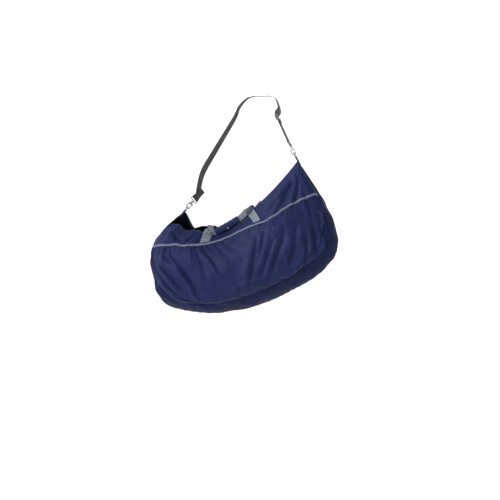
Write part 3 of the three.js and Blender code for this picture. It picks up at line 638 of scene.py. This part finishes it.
NAVY = (0.0072, 0.0105, 0.050)
navy = nylon("navy_nylon", NAVY)
# The gussets are the same navy nylon as the panels. Their colour at 0.75 of NAVY is painted shade, for the
# ends and bottom, which face away from the light.
navy_gusset_painted_shade = nylon("navy_nylon_gusset_painted_shade", scaled(NAVY, 0.75), 0.0, (0.62, 0.76))
lining = nylon("dark_lining", (0.003, 0.004, 0.009), 0.01, (0.55, 0.7))
trim_cloth = cord_cloth("trim_cord", (0.135, 0.15, 0.235))
grey_web = webbing("grey_webbing", (0.135, 0.16, 0.195))
charcoal_web = webbing("charcoal_webbing", (0.040, 0.041, 0.043))
tape_cloth = webbing("zip_tape", (0.014, 0.018, 0.045), 1.2 * MM)
steel = metal("steel", (0.25, 0.255, 0.27), (0.44, 0.56))
gunmetal = metal("zip_metal", (0.10, 0.10, 0.115), (0.25, 0.4))
coil_plastic = plastic("coil_plastic", (0.012, 0.014, 0.035), (0.25, 0.4))
black_plastic = plastic("black_plastic", (0.018, 0.018, 0.02))
navy_thread = plastic("navy_thread", (0.018, 0.025, 0.085), (0.5, 0.65))
grey_thread = plastic("grey_thread", (0.42, 0.46, 0.50), (0.5, 0.65))


# ---- cloth simulation ----
SIM_FRAMES = 14
PANEL_CAP, GUSSET_CAP = 9 * MM, 4 * MM
SEAM_REACH = 3  # the cloth becomes free over this many rows of its grid from a seam


def settle(panels):
    """Cloth simulation of sewn panels, all at once. The seams are pinned, and the cloth is cut a little
    larger than the space between them, so that it buckles. No point moves further than its panel's cap."""
    scene = bpy.context.scene
    kept = []
    for obj, free, cap in panels:
        group = obj.vertex_groups.new(name="seams")
        for index, weight in enumerate(1 - free):
            if weight > 0:
                group.add([index], float(weight), "REPLACE")
        cloth = obj.modifiers.new("cloth", "CLOTH")
        values = cloth.settings
        values.quality = 6
        values.mass = 0.12
        values.tension_stiffness = 12
        values.compression_stiffness = 12
        values.shear_stiffness = 6
        values.bending_stiffness = 0.06
        values.air_damping = 2.0
        values.vertex_group_mass = "seams"
        values.pin_stiffness = 1
        values.shrink_min = -0.035
        values.use_pressure = True
        values.uniform_pressure_force = 1.2
        values.effector_weights.gravity = 0.35
        cloth.collision_settings.use_collision = False
        cloth.point_cache.frame_start = 1
        cloth.point_cache.frame_end = SIM_FRAMES
        kept.append((obj, cap, np.array([v.co for v in obj.data.vertices])))
    for number in range(1, SIM_FRAMES + 1):
        scene.frame_set(number)
    depsgraph = bpy.context.evaluated_depsgraph_get()
    for obj, cap, before in kept:
        shape = obj.evaluated_get(depsgraph).data
        after = np.array([v.co for v in shape.vertices])[: len(before)]
        move = after - before
        size = np.linalg.norm(move, axis=1, keepdims=True)
        move *= np.tanh(size / cap) * cap / np.maximum(size, 1e-9)
        obj.modifiers.remove(obj.modifiers["cloth"])
        obj.vertex_groups.clear()
        obj.data.vertices.foreach_set("co", (before + move).astype(np.float32).ravel())
        obj.data.update()
    scene.frame_set(1)


# ---- panels ----
def panel_grid(side, t0, t1, rows, columns, down_from, down_to):
    t = np.linspace(t0, t1, rows)[:, None]
    turn0 = np.arccos(1 - 2 * down_from(t))
    turn1 = np.arccos(1 - 2 * down_to(t))
    turn = turn0 + (turn1 - turn0) * np.linspace(0, 1, columns)[None]
    return cloth_at(t, (1 - np.cos(turn)) / 2, side)


def mouth_edge(t):
    return np.full(t.shape, MOUTH_DOWN)


def upper_end(t):
    return np.minimum(trim_at(t), seam_at(t))


def gusset_grid(t0, t1, rows, columns):
    t = np.linspace(t0, t1, rows)[:, None]
    seam = np.arccos(1 - 2 * seam_at(t))
    share = np.linspace(-1, 1, columns)[None]
    turn = math.pi + (seam - math.pi) * np.abs(share)
    down = (1 - np.cos(turn)) / 2
    t, down, share = np.broadcast_arrays(t, down, share)
    front, back = cloth_at(t, down, "front"), cloth_at(t, down, "back")
    grid = np.where((share < 0)[..., None], front, back)
    middle = share == 0
    grid[middle] = (front[middle] + back[middle]) / 2
    return grid


def free_share(rows, columns):
    """How free each point of a panel's grid is: 0 on its seams, rising to 1 within."""
    i, j = np.meshgrid(np.arange(rows), np.arange(columns), indexing="ij")
    edge = np.minimum(np.minimum(i, rows - 1 - i), np.minimum(j, columns - 1 - j))
    return np.clip(edge / SEAM_REACH, 0, 1).ravel()


OUT = {"front": np.array([0, -1, 0.0]), "back": np.array([0, 1, 0.0])}
simulated = []


def cloth_piece(name, grid, outward, material, cap=None):
    """A panel's cloth. With a cap it is simulated, and moves no further than that."""
    obj = grid_object(name, grid, outward)
    obj.data.materials.append(material)
    if cap is not None:
        simulated.append((obj, free_share(*grid.shape[:2]), cap))
    return obj


def make_panels():
    pieces = []
    for side in ("front", "back"):
        grid = panel_grid(side, TRIM_T0, TRIM_T1, 290, 116, trim_at, seam_at)
        lower = cloth_piece(f"{side}_lower_cloth", grid, OUT[side], navy, PANEL_CAP)
        pieces.append((lower, f"{side}_lower_panel"))
        grid = panel_grid(side, FIRST_T, LAST_T, 230, 44, mouth_edge, upper_end)
        upper = cloth_piece(f"{side}_upper_cloth", grid, OUT[side], navy)
        pieces.append((upper, f"{side}_upper_panel"))
    for name, t0, t1, rows, outward in (
        ("left_end_gusset", FIRST_T, 6, 84, (-1, 0, 0)),
        ("bottom_gusset", 6, 14, 120, (0, 0, -1)),
        ("right_end_gusset", 14, LAST_T, 84, (1, 0, 0)),
    ):
        grid = gusset_grid(t0, t1, rows, 61)
        # The gussets take the darker navy copy, which is painted shade.
        gusset = cloth_piece(f"{name}_cloth", grid, outward, navy_gusset_painted_shade, GUSSET_CAP)
        pieces.append((gusset, name))
    return pieces


panels = make_panels()
settle(simulated)
for piece, node in panels:
    thicken(piece, CLOTH, inner=lining)
    finish_piece(piece, navy, "bag", (node,))


# ---- trim, seams and stitching ----
def seam_line(side, t0, t1, count, down_of, shift=0.0, lift=0.0):
    t = np.linspace(t0, t1, count)
    down = down_of(t) + shift
    return cloth_at(t, down, side, lift), normal_at(t, down, side)


CORD_TAPER = 14 * MM  # a cord thins over this length where it is sewn in


def cord_along(name, centres, normals, width, height, turns_pitch, sides=14):
    """Piping: an oval cord whose cover is twisted round it."""
    along = unit(np.gradient(centres, axis=0))
    across = unit(np.cross(normals, along))
    run = run_along(centres)
    angle = np.linspace(0, 2 * math.pi, sides, endpoint=False)
    twist = 1 + 0.07 * np.sin(3 * angle[None] + 2 * math.pi * run[:, None] / turns_pitch)
    to_end = np.minimum(run, run[-1] - run)
    twist = twist * (0.3 + 0.7 * smooth(to_end, 0, CORD_TAPER))[:, None]
    a = np.cos(angle)[None] * width / 2 * twist
    h = np.sin(angle)[None] * height / 2 * twist
    points = centres[:, None] + across[:, None] * a[..., None] + normals[:, None] * h[..., None]
    rows = len(centres)
    u = np.broadcast_to(angle[None] / (2 * math.pi) * 2.6 * width, (rows, sides))
    v = np.broadcast_to(run[:, None], (rows, sides))
    uvs = np.stack([u, v], -1).reshape(-1, 2)
    return new_object(name, points.reshape(-1, 3), tube_faces(rows, sides), uvs)


for side in ("front", "back"):
    line, normals = seam_line(side, TRIM_T0 - 0.05, TRIM_T1 + 0.06, 620, trim_at, lift=1.9 * MM)
    cord = cord_along(f"{side}_piping", line, normals, 9.5 * MM, 4.6 * MM, 8 * MM)
    finish_piece(cord, trim_cloth, "bag", (f"{side}_trim",))
    rows = []
    for shift in (-0.024, 0.024):
        rows.append(seam_line(side, TRIM_T0 + 0.1, TRIM_T1 - 0.1, 400, trim_at, shift, 0.2 * MM))
    for shift in (-0.014, 0.014):
        rows.append(seam_line(side, 1.2, LAST - 1.4, 500, seam_at, shift, 0.3 * MM))
    stitches(f"{side}_seam_stitches", rows, navy_thread, "bag")

for side in ("front", "back"):
    line, normals = seam_line(side, 0.35, LAST - 0.4, 520, seam_at, lift=1.0 * MM)
    welt = cord_along(f"{side}_gusset_welt", line, normals, 4.2 * MM, 3.2 * MM, 30 * MM, 10)
    # The welts take the gussets' darker navy copy, which is painted shade.
    finish_piece(welt, navy_gusset_painted_shade, "bag")


# ---- zip ----
def zip_edge(side, lift, inset):
    """A line beside the open mouth's edge, inset towards the opening."""
    t = np.linspace(FIRST_T, ZIP_STATION, 220)
    edge = cloth_at(t, mouth_edge(t), side)
    lower = cloth_at(t, np.full(t.shape, 0.03), side)
    onward = unit(edge - lower)
    normals = normal_at(t, np.full(t.shape, 0.004), side)
    return edge + onward * inset + normals * lift, onward, normals


TAPE_INSET = 5.5 * MM  # how far the tape stands out past the open mouth's edge
TOOTH, TOOTH_PITCH = (3.4 * MM, 1.2 * MM, 1.6 * MM), 1.9 * MM  # of the open stretch
COIL, COIL_PITCH = (4.2 * MM, 0.95 * MM, 1.9 * MM), 1.0 * MM  # of the closed stretch


def make_zip():
    angles = np.linspace(ZIP_START, ZIP_END, 80)
    for side, sign in (("front", -1), ("back", 1)):
        closed = [zip_point(angles, -2.2 * MM, sign * y * MM) for y in (1.5, 3.0, 4.6, 6.6)]
        inner, onward, _ = zip_edge(side, -0.6 * MM, TAPE_INSET)
        outer = inner - onward * 9 * MM
        open_grid = np.stack([inner + (outer - inner) * s for s in np.linspace(0, 1, 4)], 1)
        grid = np.concatenate([open_grid, np.stack(closed, 1)])
        tape = grid_object(f"{side}_tape", grid, OUT[side] * 0.3 + np.array([0, 0, 1.0]))
        thicken(tape, 0.8 * MM)
        finish_piece(tape, tape_cloth, "bag", (f"{side}_zip_tape",))
        line, _, normals = zip_edge(side, 0.2 * MM, TAPE_INSET)
        place, _, index = spaced(line, TOOTH_PITCH)
        k = np.clip(index.astype(int), 0, len(line) - 1)
        teeth = beads(f"{side}_open_teeth", place, onward[k], normals[k], TOOTH)
        finish_piece(teeth, coil_plastic, "bag")
    line = zip_point(np.linspace(ZIP_START, ZIP_END, 200), -1.0 * MM)
    place, way, _ = spaced(line, COIL_PITCH)
    place[:, 1] += 0.55 * MM * (-1.0) ** np.arange(len(place))
    across = np.broadcast_to([0, 1.0, 0], place.shape)
    up = np.cross(way, across)
    coil = beads("closed_teeth", place, across, -up, COIL)
    finish_piece(coil, coil_plastic, "bag", ("zip_coil",))


make_zip()


# ---- handles ----
GRIP_LEFT = np.array([-146, -27, -563]) * MM + MIDDLE
GRIP_RIGHT = np.array([-50, -27, -508]) * MM + MIDDLE
GRIP_ALONG = unit(GRIP_RIGHT - GRIP_LEFT)
GRIP_UP = unit(np.cross(np.array([0, -1.0, 0]), GRIP_ALONG))
GRIP_SIDE = np.cross(GRIP_UP, GRIP_ALONG)
GRIP_LENGTH = float(np.linalg.norm(GRIP_RIGHT - GRIP_LEFT))
GRIP_DEPTH, GRIP_HEIGHT = 25 * MM, 31 * MM
LEGS = {"left": (7.75, 7.8), "right": (10.42, 10.88)}  # stations of a leg's top and of its foot
LEG_TOP = 0.012  # share of the way down where a leg starts
FOOT_GAP = 0.022  # and how much of it lies between its foot and the trim
LEG_LENGTH = 0.06  # the length that a leg has in its material, m
LEG_UP = {side: out + np.array([0, 0, 0.4]) for side, out in OUT.items()}


def leg_rows(side, leg, rows=26, columns=13):
    """The webbing sewn on the panel, from its top down to the trim, as a grid of points."""
    t_top, t_foot = LEGS[leg]
    grid = []
    for share in np.linspace(0, 1, rows):
        t = t_top + (t_foot - t_top) * share
        down = LEG_TOP + (float(trim_at(np.array(t))) - FOOT_GAP - LEG_TOP) * share
        a, b = (surface(np.array(t + d), np.array(down), side) for d in (-0.1, 0.1))
        reach = WEBBING / 2 / (np.linalg.norm(b - a) / 0.2)
        place = t + np.linspace(-reach, reach, columns)
        downs = LEG_TOP + (trim_at(place) - FOOT_GAP - LEG_TOP) * share
        grid.append(cloth_at(place, downs, side, LIFT + 0.4 * MM))
    return np.array(grid)


def make_leg(side, leg):
    """A leg's webbing, sewn down along its edges and with a crossed box above the trim."""
    grid, up = leg_rows(side, leg), LEG_UP[side]
    rows, columns = grid.shape[:2]
    across, along = np.linspace(-WEBBING / 2, WEBBING / 2, columns), np.linspace(0, LEG_LENGTH, rows)
    uvs = np.stack(np.meshgrid(across, along), -1).reshape(-1, 2)
    obj = grid_object(f"{side}_{leg}_leg_webbing", grid, up, uvs)
    thicken(obj, WEBBING_THICK, 1.0)
    finish_piece(obj, grey_web, "bag", (f"{side}_handle_{leg}_leg",))
    inset, low, high = 2, -3, -13  # the box's edges, as columns and rows of the grid
    lifted = grid + unit(up) * (WEBBING_THICK + 0.3 * MM)
    edges = [
        (lifted[2:-2, inset], up),
        (lifted[2:-2, -1 - inset], up),
        (lifted[low, inset:-inset], up),
        (lifted[high, inset:-inset], up),
    ]
    cross = np.linspace(0, 1, 12)[:, None]
    bulge = np.sin(math.pi * cross) * unit(up) * 0.4 * MM
    for a, b in ((inset, -1 - inset), (-1 - inset, inset)):
        edges.append((lifted[low, a] + (lifted[high, b] - lifted[low, a]) * cross + bulge, up))
    stitches(f"{side}_{leg}_leg_stitches", edges, grey_thread, "bag")


LEAD_POINTS = {  # a loop's free stretch beside a leg's top, in mm, in the bag's own plane
    ("front", "left"): [(-172, -44, -558), (-161, -35, -563)],
    ("front", "right"): [(-16, -28, -476), (-33, -30, -493)],
    ("back", "left"): [(-174, 4, -536), (-164, -19, -558)],
    ("back", "right"): [(-10, 6, -462), (-29, -16, -485)],
}
IN_GRIP = {"front": -2.2 * MM, "back": 2.2 * MM}


def make_lead(side, leg):
    """The webbing from a leg's top to the grip's mouth, which turns on edge and folds narrower."""
    top = leg_rows(side, leg, 8)
    middle = top.shape[1] // 2
    root, below = (top[row, middle] + unit(LEG_UP[side]) * WEBBING_THICK / 2 for row in (0, 1))
    rise = root + unit(root - below) * 7 * MM + np.array([0, 0, 2 * MM])
    first, second = (np.array(p) * MM + MIDDLE for p in LEAD_POINTS[side, leg])
    end = GRIP_LEFT if leg == "left" else GRIP_RIGHT
    inward = GRIP_ALONG if leg == "left" else -GRIP_ALONG
    shift = np.array([0, IN_GRIP[side], 0])
    route = [root, rise, first, second, end + shift, end + inward * 14 * MM + shift]
    centres = through(route, 44)
    edge = unit(top[0, -1] - top[0, 0])
    if leg == "left":
        edge = -edge
    share = smooth(np.linspace(0, 1, len(centres)), 0.3, 0.8)[:, None]
    acrosses = unit(edge * (1 - share) + GRIP_UP * share)
    widths = WEBBING * (1 - 0.36 * smooth(np.linspace(0, 1, len(centres)), 0.2, 0.55))
    obj = ribbon(f"{side}_{leg}_lead", centres, acrosses, widths, WEBBING_THICK)
    finish_piece(obj, grey_web, None)
    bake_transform(obj)
    return obj


def make_grip():
    """The wrap: a padded navy sleeve with an overlapped edge and small folds, open at both ends."""
    rows, sides = 72, 64
    s = np.linspace(0, 1, rows)[:, None]
    angle = np.linspace(0, 2 * math.pi, sides, endpoint=False)[None]
    flap = smooth(np.mod(angle + 1.9, 2 * math.pi), 0, 0.25)
    body = 1 - 0.05 * np.cos(2 * math.pi * s * 2) * np.cos(angle)
    folds = 0.5 * np.sin(s * 46 + 3 * np.sin(angle * 2)) * np.sin(angle * 3 + s * 7)
    folds = folds + 0.35 * np.sin(s * 95 + 2 * np.cos(angle * 3 + s * 11))
    end_round = np.sqrt(np.clip(1 - (np.abs(s - 0.5) * 2) ** 10, 0.0, 1)) * 0.16 + 0.84
    grow = (folds - 1.1 + flap) * MM
    a = (GRIP_DEPTH / 2 * body * end_round + grow) * np.cos(angle)
    h = (GRIP_HEIGHT / 2 * body * end_round + grow) * np.sin(angle)
    sag = -2.0 * MM * np.sin(math.pi * s)
    centre = GRIP_LEFT + GRIP_ALONG * (s * GRIP_LENGTH) + GRIP_UP * sag
    points = centre[:, None] + GRIP_SIDE * a[..., None] + GRIP_UP * h[..., None]
    faces = [list(f) for f in grid_faces(rows, sides, closed=True)]
    points = points.reshape(-1, 3)
    count = len(points)
    mouth_size = 0.6  # of the sleeve's outline, where its ends turn in
    for row, inward, shift in ((0, 1, 0), (rows - 1, -1, 1)):
        ring = points[row * sides : (row + 1) * sides]
        middle = ring.mean(0)
        mouth = middle + (ring - middle) * mouth_size + GRIP_ALONG * inward * 5 * MM
        start = count + shift * sides
        points = np.concatenate([points, mouth])
        for k in range(sides):
            n = (k + 1) % sides
            quad = [row * sides + k, row * sides + n, start + n, start + k]
            faces.append(quad[::-1] if inward == 1 else quad)
        cap = [start + k for k in range(sides)]
        faces.append(cap[::-1] if inward == 1 else cap)
    uv_ring = np.linspace(0, 0.09, sides)
    uv = np.stack(np.meshgrid(uv_ring, np.linspace(0, GRIP_LENGTH, rows)), -1).reshape(-1, 2)
    uv = np.concatenate([uv, np.zeros((2 * sides, 2))])
    obj = new_object("padded_grip", points, faces, uv)
    finish_piece(obj, navy, "handles", ("handle_wrap",))
    rows_of_stitches = []
    sleeve = points[: rows * sides].reshape(rows, sides, 3)
    for around in (0.6, 2.6):
        line = sleeve[3:-3, int(around / (2 * math.pi) * sides)]
        outward = unit(line - centre[3:-3])
        rows_of_stitches.append((line + outward * 0.2 * MM, outward))
    stitches("grip_stitches", rows_of_stitches, navy_thread, "handles")


def lathe(name, profile, centre, axis, sides=28):
    """A round piece from (radius, height) pairs along axis."""
    axis = unit(np.array(axis, float))
    side = unit(np.cross(axis, [0.3, 0.2, 0.9]))
    other = np.cross(axis, side)
    angle = np.linspace(0, 2 * math.pi, sides, endpoint=False)
    ring = np.cos(angle)[:, None] * side + np.sin(angle)[:, None] * other
    points = [np.array(centre) + ring * r + axis * h for r, h in profile]
    return new_object(name, np.concatenate(points), tube_faces(len(profile), sides))


def make_snap():
    low, high = (np.array(c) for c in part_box("wrap_snap"))
    middle = (low + high) / 2
    middle[1] = high[1]
    profile = [(4.9, 0), (5.0, 0.5), (4.6, 0.9), (4.1, 0.8), (3.8, 1.1), (2.8, 1.9), (1.4, 2.3), (0.3, 2.4)]
    snap = lathe("snap_button", [(r * MM, h * MM) for r, h in profile], middle, (0, -1, 0))
    finish_piece(snap, steel, "handles", ("wrap_snap",))


for side in ("front", "back"):
    for leg in ("left", "right"):
        make_leg(side, leg)
        lead = make_lead(side, leg)
        if leg == "left":
            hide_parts(f"{side}_handle_loop")
make_grip()
make_snap()


# ---- shoulder strap ----
ENDS = {
    "left": ((-285, -200, -479), (0.587, 0.35, 0.737), -35),
    "right": ((183, -200, -261), (-0.44, 0.45, 0.78), 0),
}
PULL_HEIGHT = 21.2 * MM  # where a hook pulls on its ring, above the peak
EYE_BAR = 69.1 * MM
STRAP_THICK = 1.8 * MM
LAYER = 1.3 * MM
FOLD_RADIUS = 3.1 * MM
SEWN_END, RETURN_END, STRAIGHT_END = 118 * MM, 201 * MM, 227 * MM


def hook_frame(end):
    peak, towards, turn = ENDS[end]
    peak, towards = np.array(peak) * MM, np.array(towards)
    flat_up = unit(towards * np.array([1, 0, 1]))
    up = unit(towards)
    origin = peak + flat_up * PULL_HEIGHT - up * PULL_HEIGHT
    bar = unit(np.array([0, 1.0, 0]) - up * up[1])
    sideways = np.cross(bar, up)
    angle = math.radians(turn)
    across = bar * math.cos(angle) - sideways * math.sin(angle)
    facing = sideways * math.cos(angle) + bar * math.sin(angle)
    return {"origin": origin, "up": up, "across": across, "facing": facing}


def strap_point(f, x, z):
    return f["origin"] + f["facing"] * x + f["up"] * z


def make_strap():
    left, right = hook_frame("left"), hook_frame("right")
    turn = np.linspace(0, math.pi, 13)
    fold = [(-FOLD_RADIUS * math.cos(a), EYE_BAR - FOLD_RADIUS * math.sin(a)) for a in turn]
    near = [(FOLD_RADIUS, EYE_BAR + 3 * MM), (LAYER, EYE_BAR + 14 * MM)]
    far = [(-LAYER, EYE_BAR + 14 * MM), (-FOLD_RADIUS, EYE_BAR + 3 * MM)]
    left_end = [strap_point(left, x, z) for x, z in [(-LAYER, SEWN_END), *far, *fold, *near]]
    right_end = [
        strap_point(right, x, z) for x, z in [(-LAYER, STRAIGHT_END), *far, *fold, *near, (LAYER, RETURN_END)]
    ]
    crown = STRAP_THICK / 2 / MM
    chest = [(-222, -143, -322), (-174, -101, -222), (-108, -50, -94), (-90, -32, -46), (-62, -12, -11)]
    chest = [left_end[-1], *(np.array(p) * MM for p in chest), np.array((-33, 0, crown)) * MM]
    back = [(33, 0, crown), (62, -16, -13), (84, -52, -56)]
    back = [*(np.array(p) * MM for p in back), right_end[0]]
    left_run, right_run = through(chest, 90)[1:], through(back, 44)[:-1]
    level = np.array([0, 1.0, 0])

    def turned(count, a, b):
        share = smooth(np.linspace(0, 1, count), 0, 1)[:, None]
        return unit(a * (1 - share) + b * share)

    centres = np.concatenate([left_end, left_run, right_run, right_end])
    acrosses = np.concatenate(
        [
            np.broadcast_to(left["across"], (len(left_end), 3)),
            turned(len(left_run), left["across"], level),
            turned(len(right_run), level, right["across"]),
            np.broadcast_to(right["across"], (len(right_end), 3)),
        ]
    )
    strap = ribbon("strap_webbing", centres, acrosses, WEBBING, STRAP_THICK, 11)
    finish_piece(strap, charcoal_web, "strap", ("shoulder_strap",))
    lines = []
    corners = [(-15, 84), (15, 84), (-15, 116), (15, 116)]  # of the crossed box, across and up, mm
    share = np.linspace(0, 1, 14)[:, None]
    for face in (-1, 1):
        out = left["facing"] * face
        for first, second in ((0, 2), (1, 3), (0, 1), (2, 3), (0, 3), (1, 2)):
            (a0, b0), (a1, b1) = corners[first], corners[second]
            a = (a0 + (a1 - a0) * share) * MM
            z = (b0 + (b1 - b0) * share) * MM
            base = left["origin"] + left["across"] * a + left["up"] * z
            lines.append((base + out * (LAYER + STRAP_THICK / 2 + 0.1 * MM), out))
    stitches("strap_stitches", lines, black_plastic, "strap")


make_strap()


# ---- ring tabs and pocket ----
def make_tab(end):
    peak, towards, _ = ENDS[end]
    peak = np.array(peak) * MM
    up = unit(np.array(towards) * np.array([1, 0, 1]))
    sideways = np.cross([0, 1.0, 0], up)
    turn = np.linspace(0, math.pi, 11)
    over = [(-3.2 * math.cos(a), 3.2 + 3.2 * math.sin(a)) for a in turn]
    route = [(-1.3, -30), (-1.5, -16), (-1.8, -2), *over, (1.8, -2), (1.5, -16), (1.3, -30)]
    centres = np.array([peak + sideways * x * MM + up * z * MM for x, z in route])
    acrosses = np.broadcast_to([0, 1.0, 0], centres.shape)
    tab = ribbon(f"{end}_tab_webbing", centres, acrosses, 23 * MM, 1.6 * MM)
    finish_piece(tab, tape_cloth, "bag", (f"{end}_ring_tab",))


def make_pocket():
    """The flat inner pocket that the empty bag folds into, with small folds."""
    low, high = (np.array(c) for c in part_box("stow_pocket"))
    rows, columns = 40, 56
    a, b = np.meshgrid(np.linspace(-1, 1, columns), np.linspace(-1, 1, rows))
    x = (low[0] + high[0]) / 2 + a * (high[0] - low[0]) / 2 * (1 - 0.03 * (1 - b**2))
    z = (low[2] + high[2]) / 2 + b * (high[2] - low[2]) / 2 * (1 - 0.03 * (1 - a**2))
    puff = (1 - a**4) * (1 - b**4) * 2.0 + 0.5 * np.sin(9 * a + 4 * b) * (1 - a**2) * (1 - b**2)
    grid = np.stack([x, high[1] - CLOTH - puff * MM, z], -1)
    pocket = grid_object("pocket_cloth", grid, np.array([0, -1.0, 0]))
    thicken(pocket, CLOTH)
    finish_piece(pocket, lining, "bag", ("stow_pocket",))


for end in ("left", "right"):
    make_tab(end)
make_pocket()

# ---- CAD pieces that stay, with their finishes ----
KEPT = {"strap_adjuster": black_plastic, "zip_slider": gunmetal, "zip_pull": gunmetal}
KEPT.update({"zip_end_stop": steel, "stow_pocket_slider": steel, "stow_pocket_zip": tape_cloth})
for end in ("left", "right"):
    for part in ("ring", "hook", "gate", "gate_pin", "gate_spring", "swivel_eye"):
        KEPT[f"{end}_{part}"] = steel
for node, material in KEPT.items():
    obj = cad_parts[node]
    if not obj.data.materials:
        obj.data.materials.append(material)
    for slot_of in obj.material_slots:
        slot_of.link = "OBJECT"
        slot_of.material = material


# ---- floor, light and camera ----
AZIMUTH, ELEVATION, DISTANCE = math.radians(12), math.radians(3), 6.0
FLOOR_Z = -1.575
RIGHT = np.array([math.cos(AZIMUTH), math.sin(AZIMUTH), 0])
FORWARD = np.array(
    [-math.sin(AZIMUTH) * math.cos(ELEVATION), math.cos(AZIMUTH) * math.cos(ELEVATION), -math.sin(ELEVATION)]
)
UP = np.cross(RIGHT, FORWARD)
AIM = RIGHT * -0.0504 + UP * -0.6446  # what the camera looks at


def add_camera():
    data = bpy.data.cameras.new("camera")
    data.lens = 102.9
    data.sensor_width = 36
    camera = in_scene("camera", data)
    place = AIM - FORWARD * DISTANCE
    matrix = np.eye(4)
    matrix[:3, 0], matrix[:3, 1], matrix[:3, 2], matrix[:3, 3] = RIGHT, UP, -FORWARD, place
    camera.matrix_world = Matrix(matrix.tolist())
    bpy.context.scene.camera = camera


def add_floor():
    """A pale floor that curves up into a backdrop all round, far from the bag."""
    rows, sides, radius, bend = 24, 96, 9.0, 2.5
    turn = np.linspace(0, math.pi / 2, rows - 5)[1:]
    profile = [(r, 0.0) for r in np.linspace(0.01, radius, 6)]
    profile += [(radius + bend * math.sin(a), bend * (1 - math.cos(a))) for a in turn]
    profile += [(radius + bend, bend + 8)]
    angle = np.linspace(0, 2 * math.pi, sides, endpoint=False)
    points = [[r * math.cos(a), r * math.sin(a), FLOOR_Z + h] for r, h in profile for a in angle]
    faces = [list(f)[::-1] for f in grid_faces(len(profile), sides, closed=True)]
    faces.append(list(range(sides)))
    floor = new_object("floor", points, faces)
    m = Nodes("floor")
    m.colour(m.noise(1.2, 2), [(0.3, (0.93, 0.93, 0.93)), (0.7, (0.96, 0.96, 0.96))])
    m.shader.inputs["Emission Color"].default_value = (1, 1, 1, 1)
    floor.data.materials.append(m.set(Roughness=0.9, Specular_IOR_Level=0.1, Emission_Strength=0.30))


def add_light(name, place, target, size, power):
    data = bpy.data.lights.new(name, "AREA")
    data.shape = "DISK"
    data.size = size
    data.energy = power
    light = in_scene(name, data)
    light.location = place
    way = Vector(target) - Vector(place)
    light.rotation_euler = way.to_track_quat("-Z", "Y").to_euler()


def add_lights():
    target = (-0.05, -0.2, -0.6)
    add_light("key", (-3.5, -2.5, 2.0), target, 1.4, 250)
    add_light("fill", (2.4, -3.4, 0.8), target, 3.0, 6)
    add_light("top", (0.2, 0.6, 3.2), target, 2.6, 34)
    add_light("back", (1.2, 3.4, 1.4), target, 2.4, 30)
    world = bpy.data.worlds.new("studio")
    world.use_nodes = True
    background = world.node_tree.nodes["Background"]
    background.inputs["Color"].default_value = (1, 1, 1, 1)
    background.inputs["Strength"].default_value = 0.42
    bpy.context.scene.world = world


bpy.context.scene.view_settings.view_transform = "Standard"
add_camera()
add_floor()
add_lights()
